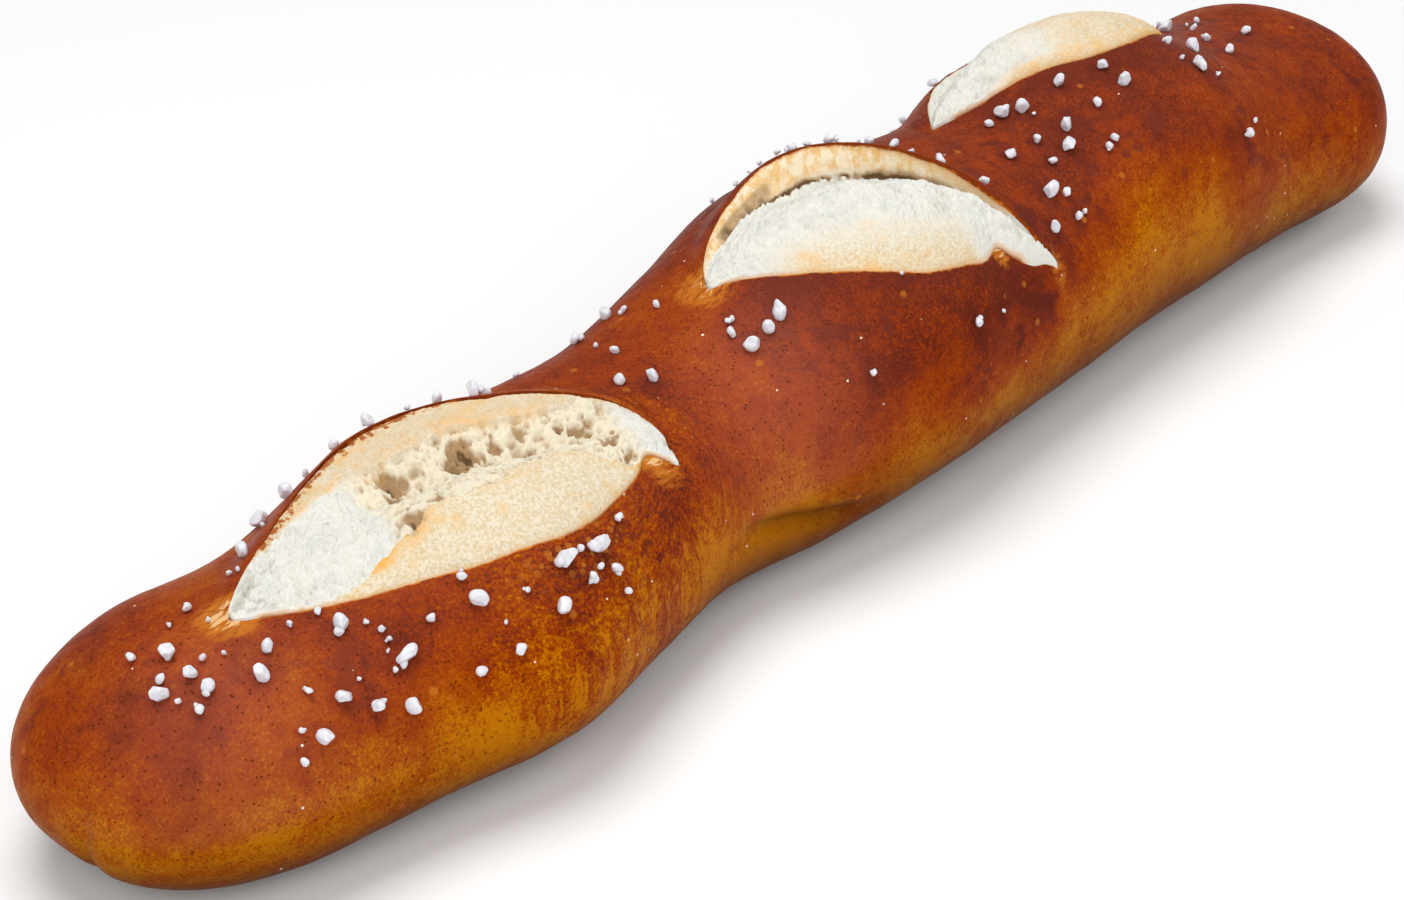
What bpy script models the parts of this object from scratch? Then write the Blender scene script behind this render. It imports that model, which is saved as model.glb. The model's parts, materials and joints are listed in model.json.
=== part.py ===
"""A pretzel baguette: one loaf with a smooth lye crust, three opened slashes and coarse salt.

The loaf lies along X on its flat underside.  +X runs to the far end, -Y is the near flank,
+Z is up, and the origin is under the middle of the loaf.  Sizes are in metres.
"""
import math
import random

import bmesh
import bpy
import numpy as np
from mathutils import Euler, Matrix, Vector

# ---------------------------------------------------------------- driving dimensions
MM = 0.001
LENGTH = 290 * MM
NEAR_CAP = 30 * MM            # length of the rounded end at -X
FAR_CAP = 22 * MM             # length of the rounded end at +X
CAP_POWER = 2.3               # 2 would be an ellipse, more is blunter
SECTION_POWER = 0.92          # below 1 the section is a little squarer than an ellipse
BELLY = 0.45                  # height of the widest line, as a share of the loaf's height
FLATTEN = 1.12                # how far the round underside would sink below the floor

# One row for each station from the near end to the far end, evenly spaced, in millimetres:
# half width towards -Y, height, half width towards +Y.
STATIONS = (
    (18.5, 31.0, 27.0),
    (21.5, 33.0, 24.5),
    (25.0, 33.0, 22.5),
    (30.5, 37.5, 25.0),
    (26.0, 36.5, 24.0),
    (22.5, 37.0, 21.5),
    (26.0, 42.5, 23.5),
    (28.5, 47.0, 27.5),
    (27.5, 45.0, 26.5),
    (26.5, 43.5, 25.0),
    (26.0, 47.0, 26.5),
    (26.0, 46.0, 25.5),
    (24.8, 38.7, 24.5),
    (26.2, 35.2, 25.5),
    (28.5, 38.2, 28.5),
)

SIDE_SHIFT = 1.45 * MM        # moves the whole loaf along Y, so that its box is centred

# ---------------------------------------------------------------- the three slashes
# Each opens between two tips.  A lip stands off the line between the tips by
# reach * sin(pi * along**skew)**fullness, where fullness changes from its first value at the
# start to its second at the end, and the crust along the lip is raised by rise.  The crumb
# swells by bulge, which grows towards the end by tilt, and it opens in a valley.  The valley's
# place, from the start to the end, and its width are shares of the slash's width.  The crumb
# meets the far lip at far_drop below the lip's edge.
SLASHES = (
    {
        "start": (-118.5 * MM, -1.5 * MM),
        "end": (-51.6 * MM, -17.5 * MM),
        "near": {"reach": -9.6 * MM, "skew": 1.25, "fullness": (0.5, 2.4), "rise": 0.8 * MM},
        "far": {"reach": 21.7 * MM, "skew": 1.08, "fullness": (0.78, 0.48), "rise": 3.4 * MM},
        "bulge": 2.6 * MM,
        "tilt": 0.0,
        "valley": 2.6 * MM,
        "valley_place": (0.60, 0.60),
        "valley_width": 0.13,
        "far_drop": 1.4 * MM,
    },
    {
        "start": (-25.8 * MM, 0.0 * MM),
        "end": (28.5 * MM, -24.5 * MM),
        "near": {"reach": -8.0 * MM, "skew": 0.96, "fullness": (1.3, 1.9), "rise": 0.8 * MM},
        "far": {"reach": 20.5 * MM, "skew": 0.8, "fullness": (0.75, 1.6), "rise": 4.2 * MM},
        "bulge": 3.5 * MM,
        "tilt": 0.37,
        "valley": 3.3 * MM,
        "valley_place": (0.76, 0.96),
        "valley_width": 0.22,
        "far_drop": 0.6 * MM,
    },
    {
        "start": (35.7 * MM, 6.0 * MM),
        "end": (92.0 * MM, -0.8 * MM),
        "near": {"reach": -5.0 * MM, "skew": 1.7, "fullness": (2.0, 0.9), "rise": 0.8 * MM},
        "far": {"reach": 18.5 * MM, "skew": 1.0, "fullness": (0.9, 0.6), "rise": 2.5 * MM},
        "bulge": 4.6 * MM,
        "tilt": 0.0,
        "valley": 1.0 * MM,
        "valley_place": (0.84, 0.84),
        "valley_width": 0.09,
        "far_drop": 0.6 * MM,
    },
)
LIP_WIDTH = 7.0 * MM          # the raised crust fades out over this distance from a lip
NEAR_DROP = 0.5 * MM          # the crumb meets the near lip this far below its edge
LIP_OVERLAP = 0.6 * MM        # the crumb runs on under the crust by this much
SLASH_DEPTH = 8.0 * MM        # depth of a slash's floor below its lowest lip
TIP_SHARPNESS = 0.5           # how soon the relief of the crumb grows from a tip
VALLEY_OPENS = (0.18, 0.42)   # shares along the slash where the valley begins and is full
VALLEY_CLOSES = (0.74, 0.92)
VALLEY_LIMIT = 0.90           # the valley comes no closer to the far lip than this share
EDGE_SHARE = 0.08             # width of the crumb's turn down at the lips, as a share across

# ---------------------------------------------------------------- crust relief
END_FOLD_DEPTH = 1.4 * MM     # the upright crease where the rolled dough ends, on the near end
END_FOLD_WIDTH = 2.4 * MM
END_FOLD_SIDE = -1.5 * MM     # its place along Y
END_FOLD_TOP = 22.0 * MM
END_FOLD_LENGTH = 16.0 * MM   # how far from the tip it fades out along X

# ---------------------------------------------------------------- coarse salt
# Patches where salt lies: x, y, spread in x, spread in y, in millimetres, and share of grains.
SALT_PATCHES = (
    (-106, -16, 12, 6.0, 24),
    (-84, -27, 9, 3.0, 14),
    (-126, -3, 4, 5.0, 9),
    (-69, -24, 5, 2.5, 6),
    (-42, 3, 7, 7.0, 13),
    (-26, -6, 3, 4.5, 8),
    (-8, -22, 9, 3.0, 6),
    (12, -26, 5, 1.5, 3),
    (48, -9, 8, 6.0, 12),
    (38, -17, 5, 3.0, 5),
    (78, -14, 9, 7.0, 6),
    (-96, 18, 10, 3.0, 5),
    (-62, 14, 8, 4.0, 4),
    (8, 17, 14, 3.0, 6),
    (64, 19, 14, 2.5, 5),
    (112, 4, 8, 8.0, 5),
)
# Rows of salt behind the far lips: number of the slash, from and to as shares along it, share
# of the grains; and how far behind the lip they lie.
SALT_ROWS = (
    (0, 0.06, 0.75, 13),
    (1, 0.12, 0.85, 12),
)
SALT_ROW_WIDTH = (0.9 * MM, 3.4 * MM)
SALT_COUNT = 96
SALT_LARGEST = 2.8 * MM
SALT_SMALLEST = 1.4 * MM
SALT_SINK = 0.28              # share of a grain's radius that is sunk in the crust
SALT_GAP = 0.35 * MM
SALT_SEED = 7

# ---------------------------------------------------------------- mesh fineness
CAP_RINGS = 7
BODY_RINGS = 66
UPPER_STEPS = 28              # faces round the upper side, between the two lower flanks
UNDER_STEPS = 6
LOWER_FLANK = math.radians(-25)
CRUMB_ALONG = 22
CRUMB_ACROSS = 15

# ---------------------------------------------------------------- colours (linear)
CRUST_COLOUR = (0.33, 0.085, 0.018, 1.0)
CRUST_ROUGHNESS = 0.38


# ================================================================ the loaf's skin
def ramp(value, low, high):
    """0 below low, 1 above high and smooth between them."""
    share = np.clip((value - low) / (high - low), 0, 1)
    return share * share * (3 - 2 * share)


def through_stations(column, x):
    """A smooth curve through one column of STATIONS, read at x (metres)."""
    values = np.array([row[column] for row in STATIONS]) * MM
    last = len(values) - 1
    place = np.clip((x / LENGTH + 0.5) * last, 0, last - 1e-9)
    left = place.astype(int)
    t = place - left
    slopes = np.gradient(values)
    a = values[left]
    b = values[left + 1]
    rise = (2 * t**3 - 3 * t**2 + 1) * a + (3 * t**2 - 2 * t**3) * b
    return rise + (t**3 - 2 * t**2 + t) * slopes[left] + (t**3 - t**2) * slopes[left + 1]


def cap_factor(x):
    """1 along the loaf, closing to 0 at both ends."""
    near = np.clip((NEAR_CAP - LENGTH / 2 - x) / NEAR_CAP, 0, 1)
    far = np.clip((x - LENGTH / 2 + FAR_CAP) / FAR_CAP, 0, 1)
    near = (1 - near**CAP_POWER) ** (1 / CAP_POWER)
    far = (1 - far**CAP_POWER) ** (1 / CAP_POWER)
    return near * far


def section(x):
    """Half widths towards -Y and +Y, belly height, height above it, closing and middle of Y."""
    near = through_stations(0, x)
    height = through_stations(1, x)
    far = through_stations(2, x)
    closing = cap_factor(x)
    middle = (far - near) / 2 * (1 - closing)
    belly = BELLY * height
    return near, far, belly, height - belly, closing, middle


def bent_power(value):
    return np.sign(value) * np.abs(value) ** SECTION_POWER


def skin_point(x, angle):
    """The loaf's skin, without relief, at x and an angle round it (0 is +Y, 90 degrees is up)."""
    near, far, belly, rise, closing, middle = section(x)
    across = bent_power(np.cos(angle))
    up = bent_power(np.sin(angle))
    y = middle + closing * np.where(across > 0, far, near) * across
    z = belly + closing * np.where(up > 0, rise, belly * FLATTEN) * up
    return y, z


def top_height(x, y):
    """Height of the upper skin at a place in plan."""
    near, far, belly, rise, closing, middle = section(x)
    side = y - middle
    half = closing * np.where(side > 0, far, near)
    share = np.clip(np.abs(side) / np.maximum(half, 1e-6), 0, 1)
    up = np.sqrt(1 - share ** (2 / SECTION_POWER))
    return belly + closing * rise * up**SECTION_POWER


# ================================================================ slashes in plan
def slash_axes(slash):
    start = np.array(slash["start"])
    run = np.array(slash["end"]) - start
    length = math.hypot(run[0], run[1])
    forward = run / length
    return start, length, forward, np.array((-forward[1], forward[0]))


def slash_place(slash, x, y):
    """Share of the way along a slash (0 to 1 between its tips), and distance across."""
    start, length, forward, left = slash_axes(slash)
    dx = x - start[0]
    dy = y - start[1]
    return (dx * forward[0] + dy * forward[1]) / length, dx * left[0] + dy * left[1]


def lip_reach(lip, along):
    inside = np.clip(along, 0, 1)
    at_start, at_end = lip["fullness"]
    fullness = at_start + (at_end - at_start) * inside
    return lip["reach"] * np.abs(np.sin(np.pi * inside ** lip["skew"])) ** fullness


def slash_point(slash, along, across):
    start, length, forward, left = slash_axes(slash)
    x = start[0] + forward[0] * length * along + left[0] * across
    y = start[1] + forward[1] * length * along + left[1] * across
    return x, y


def lip_rise(x, y):
    """How much the crust stands up beside the lips at a place in plan."""
    rise = np.zeros(np.broadcast(x, y).shape)
    for slash in SLASHES:
        along, across = slash_place(slash, x, y)
        length = slash_axes(slash)[1]
        past_tip = np.maximum(np.maximum(-along, along - 1), 0) * length
        strength = np.abs(np.sin(np.pi * np.clip(along, 0, 1))) ** 0.5
        for lip, outward in ((slash["near"], -1), (slash["far"], 1)):
            outside = outward * (across - lip_reach(lip, along))
            distance = np.hypot(np.maximum(outside, 0), past_tip)
            share = np.clip(1 - distance / LIP_WIDTH, 0, 1)
            swell = lip["rise"] * strength * share * share * (3 - 2 * share)
            own_side = outward * across > outward * (lip_reach(slash["near"], along)
                                                     + lip_reach(slash["far"], along)) / 2
            rise = np.maximum(rise, np.where(own_side, swell, 0))
    return rise


# ================================================================ crust
def ring_positions():
    """Places of the rings along X: even along the loaf, closing in over the round ends."""
    steps = np.linspace(0, math.pi / 2, CAP_RINGS + 1)[:-1]
    reach = np.sin(steps[1:]) ** (2 / CAP_POWER)
    near_start = -LENGTH / 2 + NEAR_CAP
    far_start = LENGTH / 2 - FAR_CAP
    near = near_start - NEAR_CAP * reach[::-1]
    far = far_start + FAR_CAP * reach
    return np.concatenate([near, np.linspace(near_start, far_start, BODY_RINGS), far])


def ring_angles():
    upper_end = math.pi - LOWER_FLANK
    upper = np.linspace(LOWER_FLANK, upper_end, UPPER_STEPS + 1)
    under = np.linspace(upper_end, 2 * math.pi + LOWER_FLANK, UNDER_STEPS + 1)[1:-1]
    return np.concatenate([upper, under])


def end_fold(x, y, z):
    """Depth of the upright crease in the near end."""
    across = np.exp(-(((y - END_FOLD_SIDE) / END_FOLD_WIDTH) ** 2))
    low = np.clip((END_FOLD_TOP - z) / (END_FOLD_TOP / 2), 0, 1)
    by_the_tip = np.clip((-LENGTH / 2 + END_FOLD_LENGTH - x) / (END_FOLD_LENGTH / 2), 0, 1)
    return END_FOLD_DEPTH * across * low * by_the_tip


def crust_points(x, angle):
    """The crust's points, with the raised lips and the crease at the near end."""
    y, z = skin_point(x, angle)
    upper = np.clip(np.sin(angle) * 3, 0, 1)
    z = z + lip_rise(x, y) * upper
    x = x + end_fold(x, y, z)
    return np.stack([x, y, np.maximum(z, 0)], axis=-1)


def crust_mesh():
    rings = ring_positions()
    angles = ring_angles()
    points = crust_points(rings[:, None], angles[None, :])
    shape = bmesh.new()
    grid = [[shape.verts.new(point) for point in ring] for ring in points]
    round_count = len(angles)
    for here, after in zip(grid, grid[1:]):
        for i in range(round_count):
            j = (i + 1) % round_count
            shape.faces.new((here[i], here[j], after[j], after[i]))
    for ring, side in ((grid[0], -1), (grid[-1], 1)):
        tip_x = side * LENGTH / 2
        belly = float(section(np.array(tip_x))[2])
        middle = float(section(np.array(tip_x))[5])
        tip = shape.verts.new((tip_x, middle, belly))
        for i in range(round_count):
            shape.faces.new((ring[i], ring[(i + 1) % round_count], tip))
    return finished_mesh(shape, "loaf")


def finished_mesh(shape, name):
    bmesh.ops.recalc_face_normals(shape, faces=shape.faces)
    bmesh.ops.triangulate(shape, faces=shape.faces)
    mesh = bpy.data.meshes.new(name)
    shape.to_mesh(mesh)
    shape.free()
    return mesh


# ================================================================ crumb in the slashes
def valley_line(slash, along):
    """The valley's place at each place along the slash, as a share of the way across."""
    at_start, at_end = slash["valley_place"]
    return np.minimum(at_start + (at_end - at_start) * along, VALLEY_LIMIT)


def crumb_relief(slash, along, share):
    """Height of the crumb over the loaf's own skin; share runs from the near lip to the far lip."""
    grown = np.abs(np.sin(np.pi * np.clip(along, 0.001, 0.999))) ** TIP_SHARPNESS
    place = valley_line(slash, along)
    climb = np.clip((share - place) / (1 - place), 0, 1)
    bulge = np.sin(np.pi * np.clip(share / place, 0, 1)) ** 0.8 * (1 + slash["tilt"] * (2 * along - 1))
    opening = ramp(along, *VALLEY_OPENS) * (1 - ramp(along, *VALLEY_CLOSES))
    valley = opening * (1 - climb) * np.exp(-(((share - place) / slash["valley_width"]) ** 2))
    near_climb = slash["near"]["rise"] * np.clip(1 - share / 0.3, 0, 1) ** 2
    far_climb = slash["far"]["rise"] * climb**1.5
    near_edge = NEAR_DROP * np.clip(1 - share / EDGE_SHARE, 0, 1)
    far_edge = slash["far_drop"] * np.clip(1 - (1 - share) / EDGE_SHARE, 0, 1)
    body = slash["bulge"] * bulge - slash["valley"] * valley + near_climb + far_climb
    return grown * body - near_edge - far_edge


def crumb_floor(slash):
    ends = (slash["start"], slash["end"])
    lowest = min(float(top_height(np.array(x), np.array(y))) for x, y in ends)
    return lowest - SLASH_DEPTH


def crumb_mesh(slash, name):
    """A closed lump whose top is the torn crumb and whose foot is the slash's floor."""
    along = 0.5 - 0.5 * np.cos(np.linspace(0.04, 0.96, CRUMB_ALONG) * math.pi)
    share = np.linspace(0, 1, CRUMB_ACROSS)
    near = lip_reach(slash["near"], along) - LIP_OVERLAP
    far = lip_reach(slash["far"], along) + LIP_OVERLAP
    across = near[:, None] + (far - near)[:, None] * share[None, :]
    x, y = slash_point(slash, along[:, None], across)
    z = top_height(x, y) + crumb_relief(slash, along[:, None], share[None, :])
    shape = bmesh.new()
    top = [[shape.verts.new(p) for p in row] for row in np.stack([x, y, z], axis=-1)]
    floor = crumb_floor(slash) - LIP_OVERLAP
    rim = top[0] + [row[-1] for row in top[1:-1]] + top[-1][::-1] + [row[0] for row in top[-2:0:-1]]
    foot = [shape.verts.new((v.co.x, v.co.y, floor)) for v in rim]
    for here, after in zip(top, top[1:]):
        for i in range(len(here) - 1):
            shape.faces.new((here[i], here[i + 1], after[i + 1], after[i]))
    for i in range(len(rim)):
        j = (i + 1) % len(rim)
        shape.faces.new((rim[i], rim[j], foot[j], foot[i]))
    shape.faces.new(foot)
    return finished_mesh(shape, name)


def slash_cutter_mesh(slash, name):
    """An upright prism over the eye between the two lips."""
    along = 0.5 - 0.5 * np.cos(np.linspace(0, 1, CRUMB_ALONG) * math.pi)
    near = slash_point(slash, along, lip_reach(slash["near"], along))
    far = slash_point(slash, along[-2:0:-1], lip_reach(slash["far"], along[-2:0:-1]))
    outline = list(zip(*near)) + list(zip(*far))
    floor = crumb_floor(slash)
    shape = bmesh.new()
    base = shape.faces.new([shape.verts.new((x, y, floor)) for x, y in outline])
    grown = bmesh.ops.extrude_face_region(shape, geom=[base])
    lifted = [item for item in grown["geom"] if isinstance(item, bmesh.types.BMVert)]
    bmesh.ops.translate(shape, verts=lifted, vec=(0, 0, LENGTH / 4))
    return finished_mesh(shape, name)


# ================================================================ salt
def inside_a_slash(x, y, margin):
    for slash in SLASHES:
        along, across = slash_place(slash, x, y)
        length = slash_axes(slash)[1]
        if -margin / length < along < 1 + margin / length:
            low = float(lip_reach(slash["near"], along)) - margin
            high = float(lip_reach(slash["far"], along)) + margin
            if low < across < high:
                return True
    return False


def on_the_loaf(x, y):
    """Whether a place in plan is on the crust's upper side, clear of the steep lower flanks."""
    near, far, _, _, closing, middle = (float(v) for v in section(np.array(x)))
    half = closing * (far if y > middle else near)
    return abs(y - middle) < 0.96 * half - 0.5 * MM


def salt_spot(draw):
    """A place in plan in one of the patches, or in a row behind a far lip."""
    areas = SALT_PATCHES + SALT_ROWS
    area = draw.choices(areas, [row[-1] for row in areas])[0]
    if area in SALT_ROWS:
        number, low, high, _ = area
        slash = SLASHES[number]
        along = draw.uniform(low, high)
        behind = draw.uniform(*SALT_ROW_WIDTH)
        return slash_point(slash, along, float(lip_reach(slash["far"], along)) + behind)
    x, y, spread_x, spread_y, _ = area
    x += spread_x * draw.uniform(-1.5, 1.5)
    y += spread_y * draw.uniform(-1.5, 1.5)
    return x * MM, y * MM


def salt_places():
    """Grains as (x, y, diameter), largest first, clear of the slashes and of one another."""
    draw = random.Random(SALT_SEED)
    grains = []
    for i in range(SALT_COUNT):
        size = SALT_SMALLEST + (SALT_LARGEST - SALT_SMALLEST) * (1 - i / SALT_COUNT) ** 1.5
        for _ in range(200):
            x, y = salt_spot(draw)
            free = all(math.hypot(x - gx, y - gy) > (size + gd) / 2 + SALT_GAP for gx, gy, gd in grains)
            if free and on_the_loaf(x, y) and not inside_a_slash(x, y, size * 0.5):
                grains.append((x, y, size))
                break
    return grains


def crust_normal(x, y):
    """Upward unit normal of the crust at a place in plan."""
    step = 0.5 * MM

    def height(px, py):
        px = np.array(px)
        py = np.array(py)
        return float(top_height(px, py) + lip_rise(px, py))

    slope_x = (height(x + step, y) - height(x - step, y)) / (2 * step)
    slope_y = (height(x, y + step) - height(x, y - step)) / (2 * step)
    return Vector((-slope_x, -slope_y, 1)).normalized(), height(x, y)


def salt_mesh(x, y, size, draw, name):
    """A crystal with twenty uneven faces, sunk a little in the crust."""
    shape = bmesh.new()
    bmesh.ops.create_icosphere(shape, subdivisions=1, radius=size / 2)
    stretch = Vector((draw.uniform(0.9, 1.25), draw.uniform(0.75, 1.0), draw.uniform(0.7, 0.9)))
    turn = Euler([draw.uniform(0, math.tau) for _ in range(3)]).to_matrix()
    normal, height = crust_normal(x, y)
    upright = normal.to_track_quat("Z", "Y").to_matrix()
    place = Vector((x, y, height)) + normal * size / 2 * (0.8 - SALT_SINK)
    for vert in shape.verts:
        uneven = draw.uniform(0.86, 1.14)
        flat = turn @ vert.co * uneven
        vert.co = place + upright @ Vector([flat[k] * stretch[k] for k in range(3)])
    return finished_mesh(shape, name)


# ================================================================ joining
def crust_material():
    material = bpy.data.materials.new("crust")
    material.use_nodes = True
    shader = material.node_tree.nodes["Principled BSDF"]
    shader.inputs["Base Color"].default_value = CRUST_COLOUR
    shader.inputs["Roughness"].default_value = CRUST_ROUGHNESS
    shader.inputs["Metallic"].default_value = 0.0
    return material


def add_object(mesh, collection):
    thing = bpy.data.objects.new(mesh.name, mesh)
    collection.objects.link(thing)
    return thing


def apply_boolean(target, collection, operation):
    """One Boolean with a collection, applied; the collection's objects are then removed."""
    modifier = target.modifiers.new(operation.lower(), "BOOLEAN")
    modifier.operation = operation
    modifier.operand_type = "COLLECTION"
    modifier.collection = collection
    modifier.solver = "EXACT"
    evaluated = target.evaluated_get(bpy.context.evaluated_depsgraph_get())
    joined = bpy.data.meshes.new_from_object(evaluated)
    target.modifiers.remove(modifier)
    target.data = joined
    for thing in list(collection.objects):
        bpy.data.objects.remove(thing, do_unlink=True)
    bpy.data.collections.remove(collection)


def faces_joined_to(start, unseen):
    """Faces that hang together with the start through shared edges; they leave unseen."""
    body = []
    front = [start]
    while front:
        face = front.pop()
        body.append(face)
        beside = {other for edge in face.edges for other in edge.link_faces} & unseen
        unseen -= beside
        front.extend(beside)
    return body


def keep_main_body(mesh):
    """Drops loose scraps, and fills sealed hollows by dropping their walls."""
    shape = bmesh.new()
    shape.from_mesh(mesh)
    unseen = set(shape.faces)
    bodies = []
    while unseen:
        bodies.append(faces_joined_to(unseen.pop(), unseen))
    bodies.sort(key=len)
    for body in bodies[:-1]:
        bmesh.ops.delete(shape, geom=body, context="FACES")
    bmesh.ops.triangulate(shape, faces=shape.faces)
    shape.to_mesh(mesh)
    shape.free()


def new_collection(name):
    collection = bpy.data.collections.new(name)
    bpy.context.scene.collection.children.link(collection)
    return collection


def build():
    for thing in list(bpy.data.objects):
        bpy.data.objects.remove(thing, do_unlink=True)
    loaf = add_object(crust_mesh(), bpy.context.scene.collection)
    cutters = new_collection("slash_cutters")
    for number, slash in enumerate(SLASHES, 1):
        cutter = add_object(slash_cutter_mesh(slash, f"cutter_{number}"), cutters)
        cutter.hide_render = True
        cutter.display_type = "WIRE"
    apply_boolean(loaf, cutters, "DIFFERENCE")
    toppings = new_collection("crumb_and_salt")
    for number, slash in enumerate(SLASHES, 1):
        add_object(crumb_mesh(slash, f"crumb_{number}"), toppings)
    draw = random.Random(SALT_SEED + 1)
    for number, (x, y, size) in enumerate(salt_places(), 1):
        add_object(salt_mesh(x, y, size, draw, f"salt_{number}"), toppings)
    apply_boolean(loaf, toppings, "UNION")
    loaf.data.name = "loaf"
    loaf.name = "loaf"
    keep_main_body(loaf.data)
    loaf.data.transform(Matrix.Translation((0, SIDE_SHIFT, 0)))
    loaf.data.materials.clear()
    loaf.data.materials.append(crust_material())
    loaf.data.shade_smooth()
    loaf.data.set_sharp_from_angle(angle=math.radians(35))


build()
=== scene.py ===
"""The looks of a pretzel baguette: lye crust, torn crumb in three slashes and coarse salt.

The loaf lies along X; -Y is the flank that faces the camera.  Sizes are in metres, and those
in tables are in millimetres.
"""
import json
import math
import random
from collections import namedtuple
from itertools import product

import bmesh
import bpy
import numpy as np
from mathutils import Euler, Matrix, Vector

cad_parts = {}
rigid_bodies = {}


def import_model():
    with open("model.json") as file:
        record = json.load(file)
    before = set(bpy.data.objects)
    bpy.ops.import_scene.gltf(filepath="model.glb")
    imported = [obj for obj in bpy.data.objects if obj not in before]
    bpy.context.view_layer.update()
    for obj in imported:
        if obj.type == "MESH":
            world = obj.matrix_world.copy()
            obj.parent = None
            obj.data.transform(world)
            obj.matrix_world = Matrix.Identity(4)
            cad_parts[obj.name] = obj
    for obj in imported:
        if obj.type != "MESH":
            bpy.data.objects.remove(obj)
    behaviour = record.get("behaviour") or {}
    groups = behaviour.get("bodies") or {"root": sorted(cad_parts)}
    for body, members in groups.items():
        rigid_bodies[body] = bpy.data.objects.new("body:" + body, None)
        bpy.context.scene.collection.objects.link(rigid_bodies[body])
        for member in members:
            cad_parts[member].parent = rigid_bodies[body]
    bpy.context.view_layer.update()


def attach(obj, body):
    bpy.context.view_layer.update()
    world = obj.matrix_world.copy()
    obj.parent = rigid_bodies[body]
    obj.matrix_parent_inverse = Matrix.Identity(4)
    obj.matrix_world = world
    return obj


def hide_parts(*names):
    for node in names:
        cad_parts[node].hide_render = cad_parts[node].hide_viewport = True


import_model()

# ---------------------------------------------------------------- the loaf's form
MM = 0.001
LENGTH = 290 * MM
NEAR_CAP = 30 * MM            # length of the rounded end at -X
FAR_CAP = 22 * MM             # length of the rounded end at +X
CAP_POWER = 2.3               # 2 would be an ellipse, more is blunter
SECTION_POWER = 0.92          # below 1 the section is a little squarer than an ellipse
BELLY = 0.45                  # height of the widest line, as a share of the loaf's height
FLATTEN = 1.12                # how far the round underside would sink below the floor
SIDE_SHIFT = 1.45 * MM        # moves the whole loaf along Y, so that its box is centred
MAP_RADIUS = 26 * MM          # mean radius of the loaf, for its UV map

# Stations at even steps from the near end to the far end: half width towards -Y, height, and
# half width towards +Y.
STATIONS = (
    (18.5, 31.0, 27.0), (21.5, 33.0, 24.5), (25.0, 33.0, 22.5), (30.5, 37.5, 25.0),
    (26.0, 36.5, 24.0), (22.5, 37.0, 21.5), (26.0, 42.5, 23.5), (28.5, 47.0, 27.5),
    (27.5, 45.0, 26.5), (26.5, 43.5, 25.0), (26.0, 47.0, 26.5), (26.0, 46.0, 25.5),
    (24.8, 38.7, 24.5), (26.2, 35.2, 25.5), (28.5, 38.2, 28.5),
)

LUMP_SIZE = 22 * MM           # the crust's wide and fine unevenness
LUMP_HEIGHT = 0.22 * MM
WAVE_SIZE = 5 * MM
WAVE_HEIGHT = 0.07 * MM
RELIEF_STARTS = 4 * MM        # height over the floor where the unevenness is full
FOLD_DEPTH = 1.4 * MM         # the upright crease where the rolled dough ends, on the near end
FOLD_WIDTH = 1.3 * MM
FOLD_SIDE = -1.5 * MM         # its place along Y
FOLD_TOP = 22.0 * MM
FOLD_LENGTH = 16.0 * MM       # how far from the tip it fades out along X
CREASE_DEPTH = 1.3 * MM       # the lazy crease low on the flank, between two lobes
CREASE_PLACE = -30 * MM       # the middle of it along X
CREASE_HALF = 12 * MM         # half its length
CREASE_HEIGHT = 13.5 * MM     # over the floor at its middle
CREASE_FALL = 3.1 * MM        # lower by this over half its length
CREASE_WIDTH = 1.5 * MM

# ---------------------------------------------------------------- lips and baking
LIP_WIDTH = 7.0 * MM          # the raised crust fades out over this distance from a lip
RAGGEDNESS = {-1: 0.25 * MM, 1: 0.42 * MM}  # small unevenness of the near and the far lips
RAG_SIZE = 7 * MM
LIPS_APART = 0.05             # keeps the noise of the two lips apart
# Where a lip stands in or out by a tooth of crust: share along, spread along and height.
LIP_TEETH = {
    ("near", -1): ((0.93, 0.035, 1.8),),
    ("middle", -1): ((0.79, 0.035, 1.3), (0.90, 0.05, -0.9)),
}
# Torn places of the crust: slash, share along, side, reach, and strength.
TEARS = (
    ("near", 0.0, 0.5, 5.5, 1.0), ("near", 0.95, 0.8, 4.5, 1.0), ("middle", 0.0, 1.0, 6.0, 0.8),
    ("middle", 0.79, -1.9, 2.6, 1.0), ("middle", 1.0, 0.0, 3.0, 0.4), ("far", 0.0, 0.0, 3.0, 0.3),
)
# How much darker the crust is below each slash, and how far down the flank.
LIP_STRENGTH = {"near": 1.7, "middle": 1.5, "far": 1.2}
LIP_REACH = {"near": 10 * MM, "middle": 7 * MM, "far": 7 * MM}
# Along the loaf, by X: the height at which the crust turns from golden to brown, as a share of
# the loaf's; how dark the brown is baked; and how high the painted shade of the low flank reaches.
BAKED_LINE = (
    (-140, 0.54), (-115, 0.66), (-95, 0.82), (-70, 0.82), (-45, 0.64), (-20, 0.52), (10, 0.50),
    (38, 0.70), (50, 0.78), (62, 0.66), (90, 0.58), (120, 0.52),
)
BAKED_STRENGTH = (
    (-130, 0.84), (-90, 0.60), (-60, 0.84), (-30, 1.02), (-10, 1.45), (25, 1.40), (60, 1.28),
    (120, 1.22),
)
FOOT_SHADE_HEIGHT = ((-140, 18), (-60, 18), (-20, 24), (60, 28), (90, 26), (120, 20))
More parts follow.
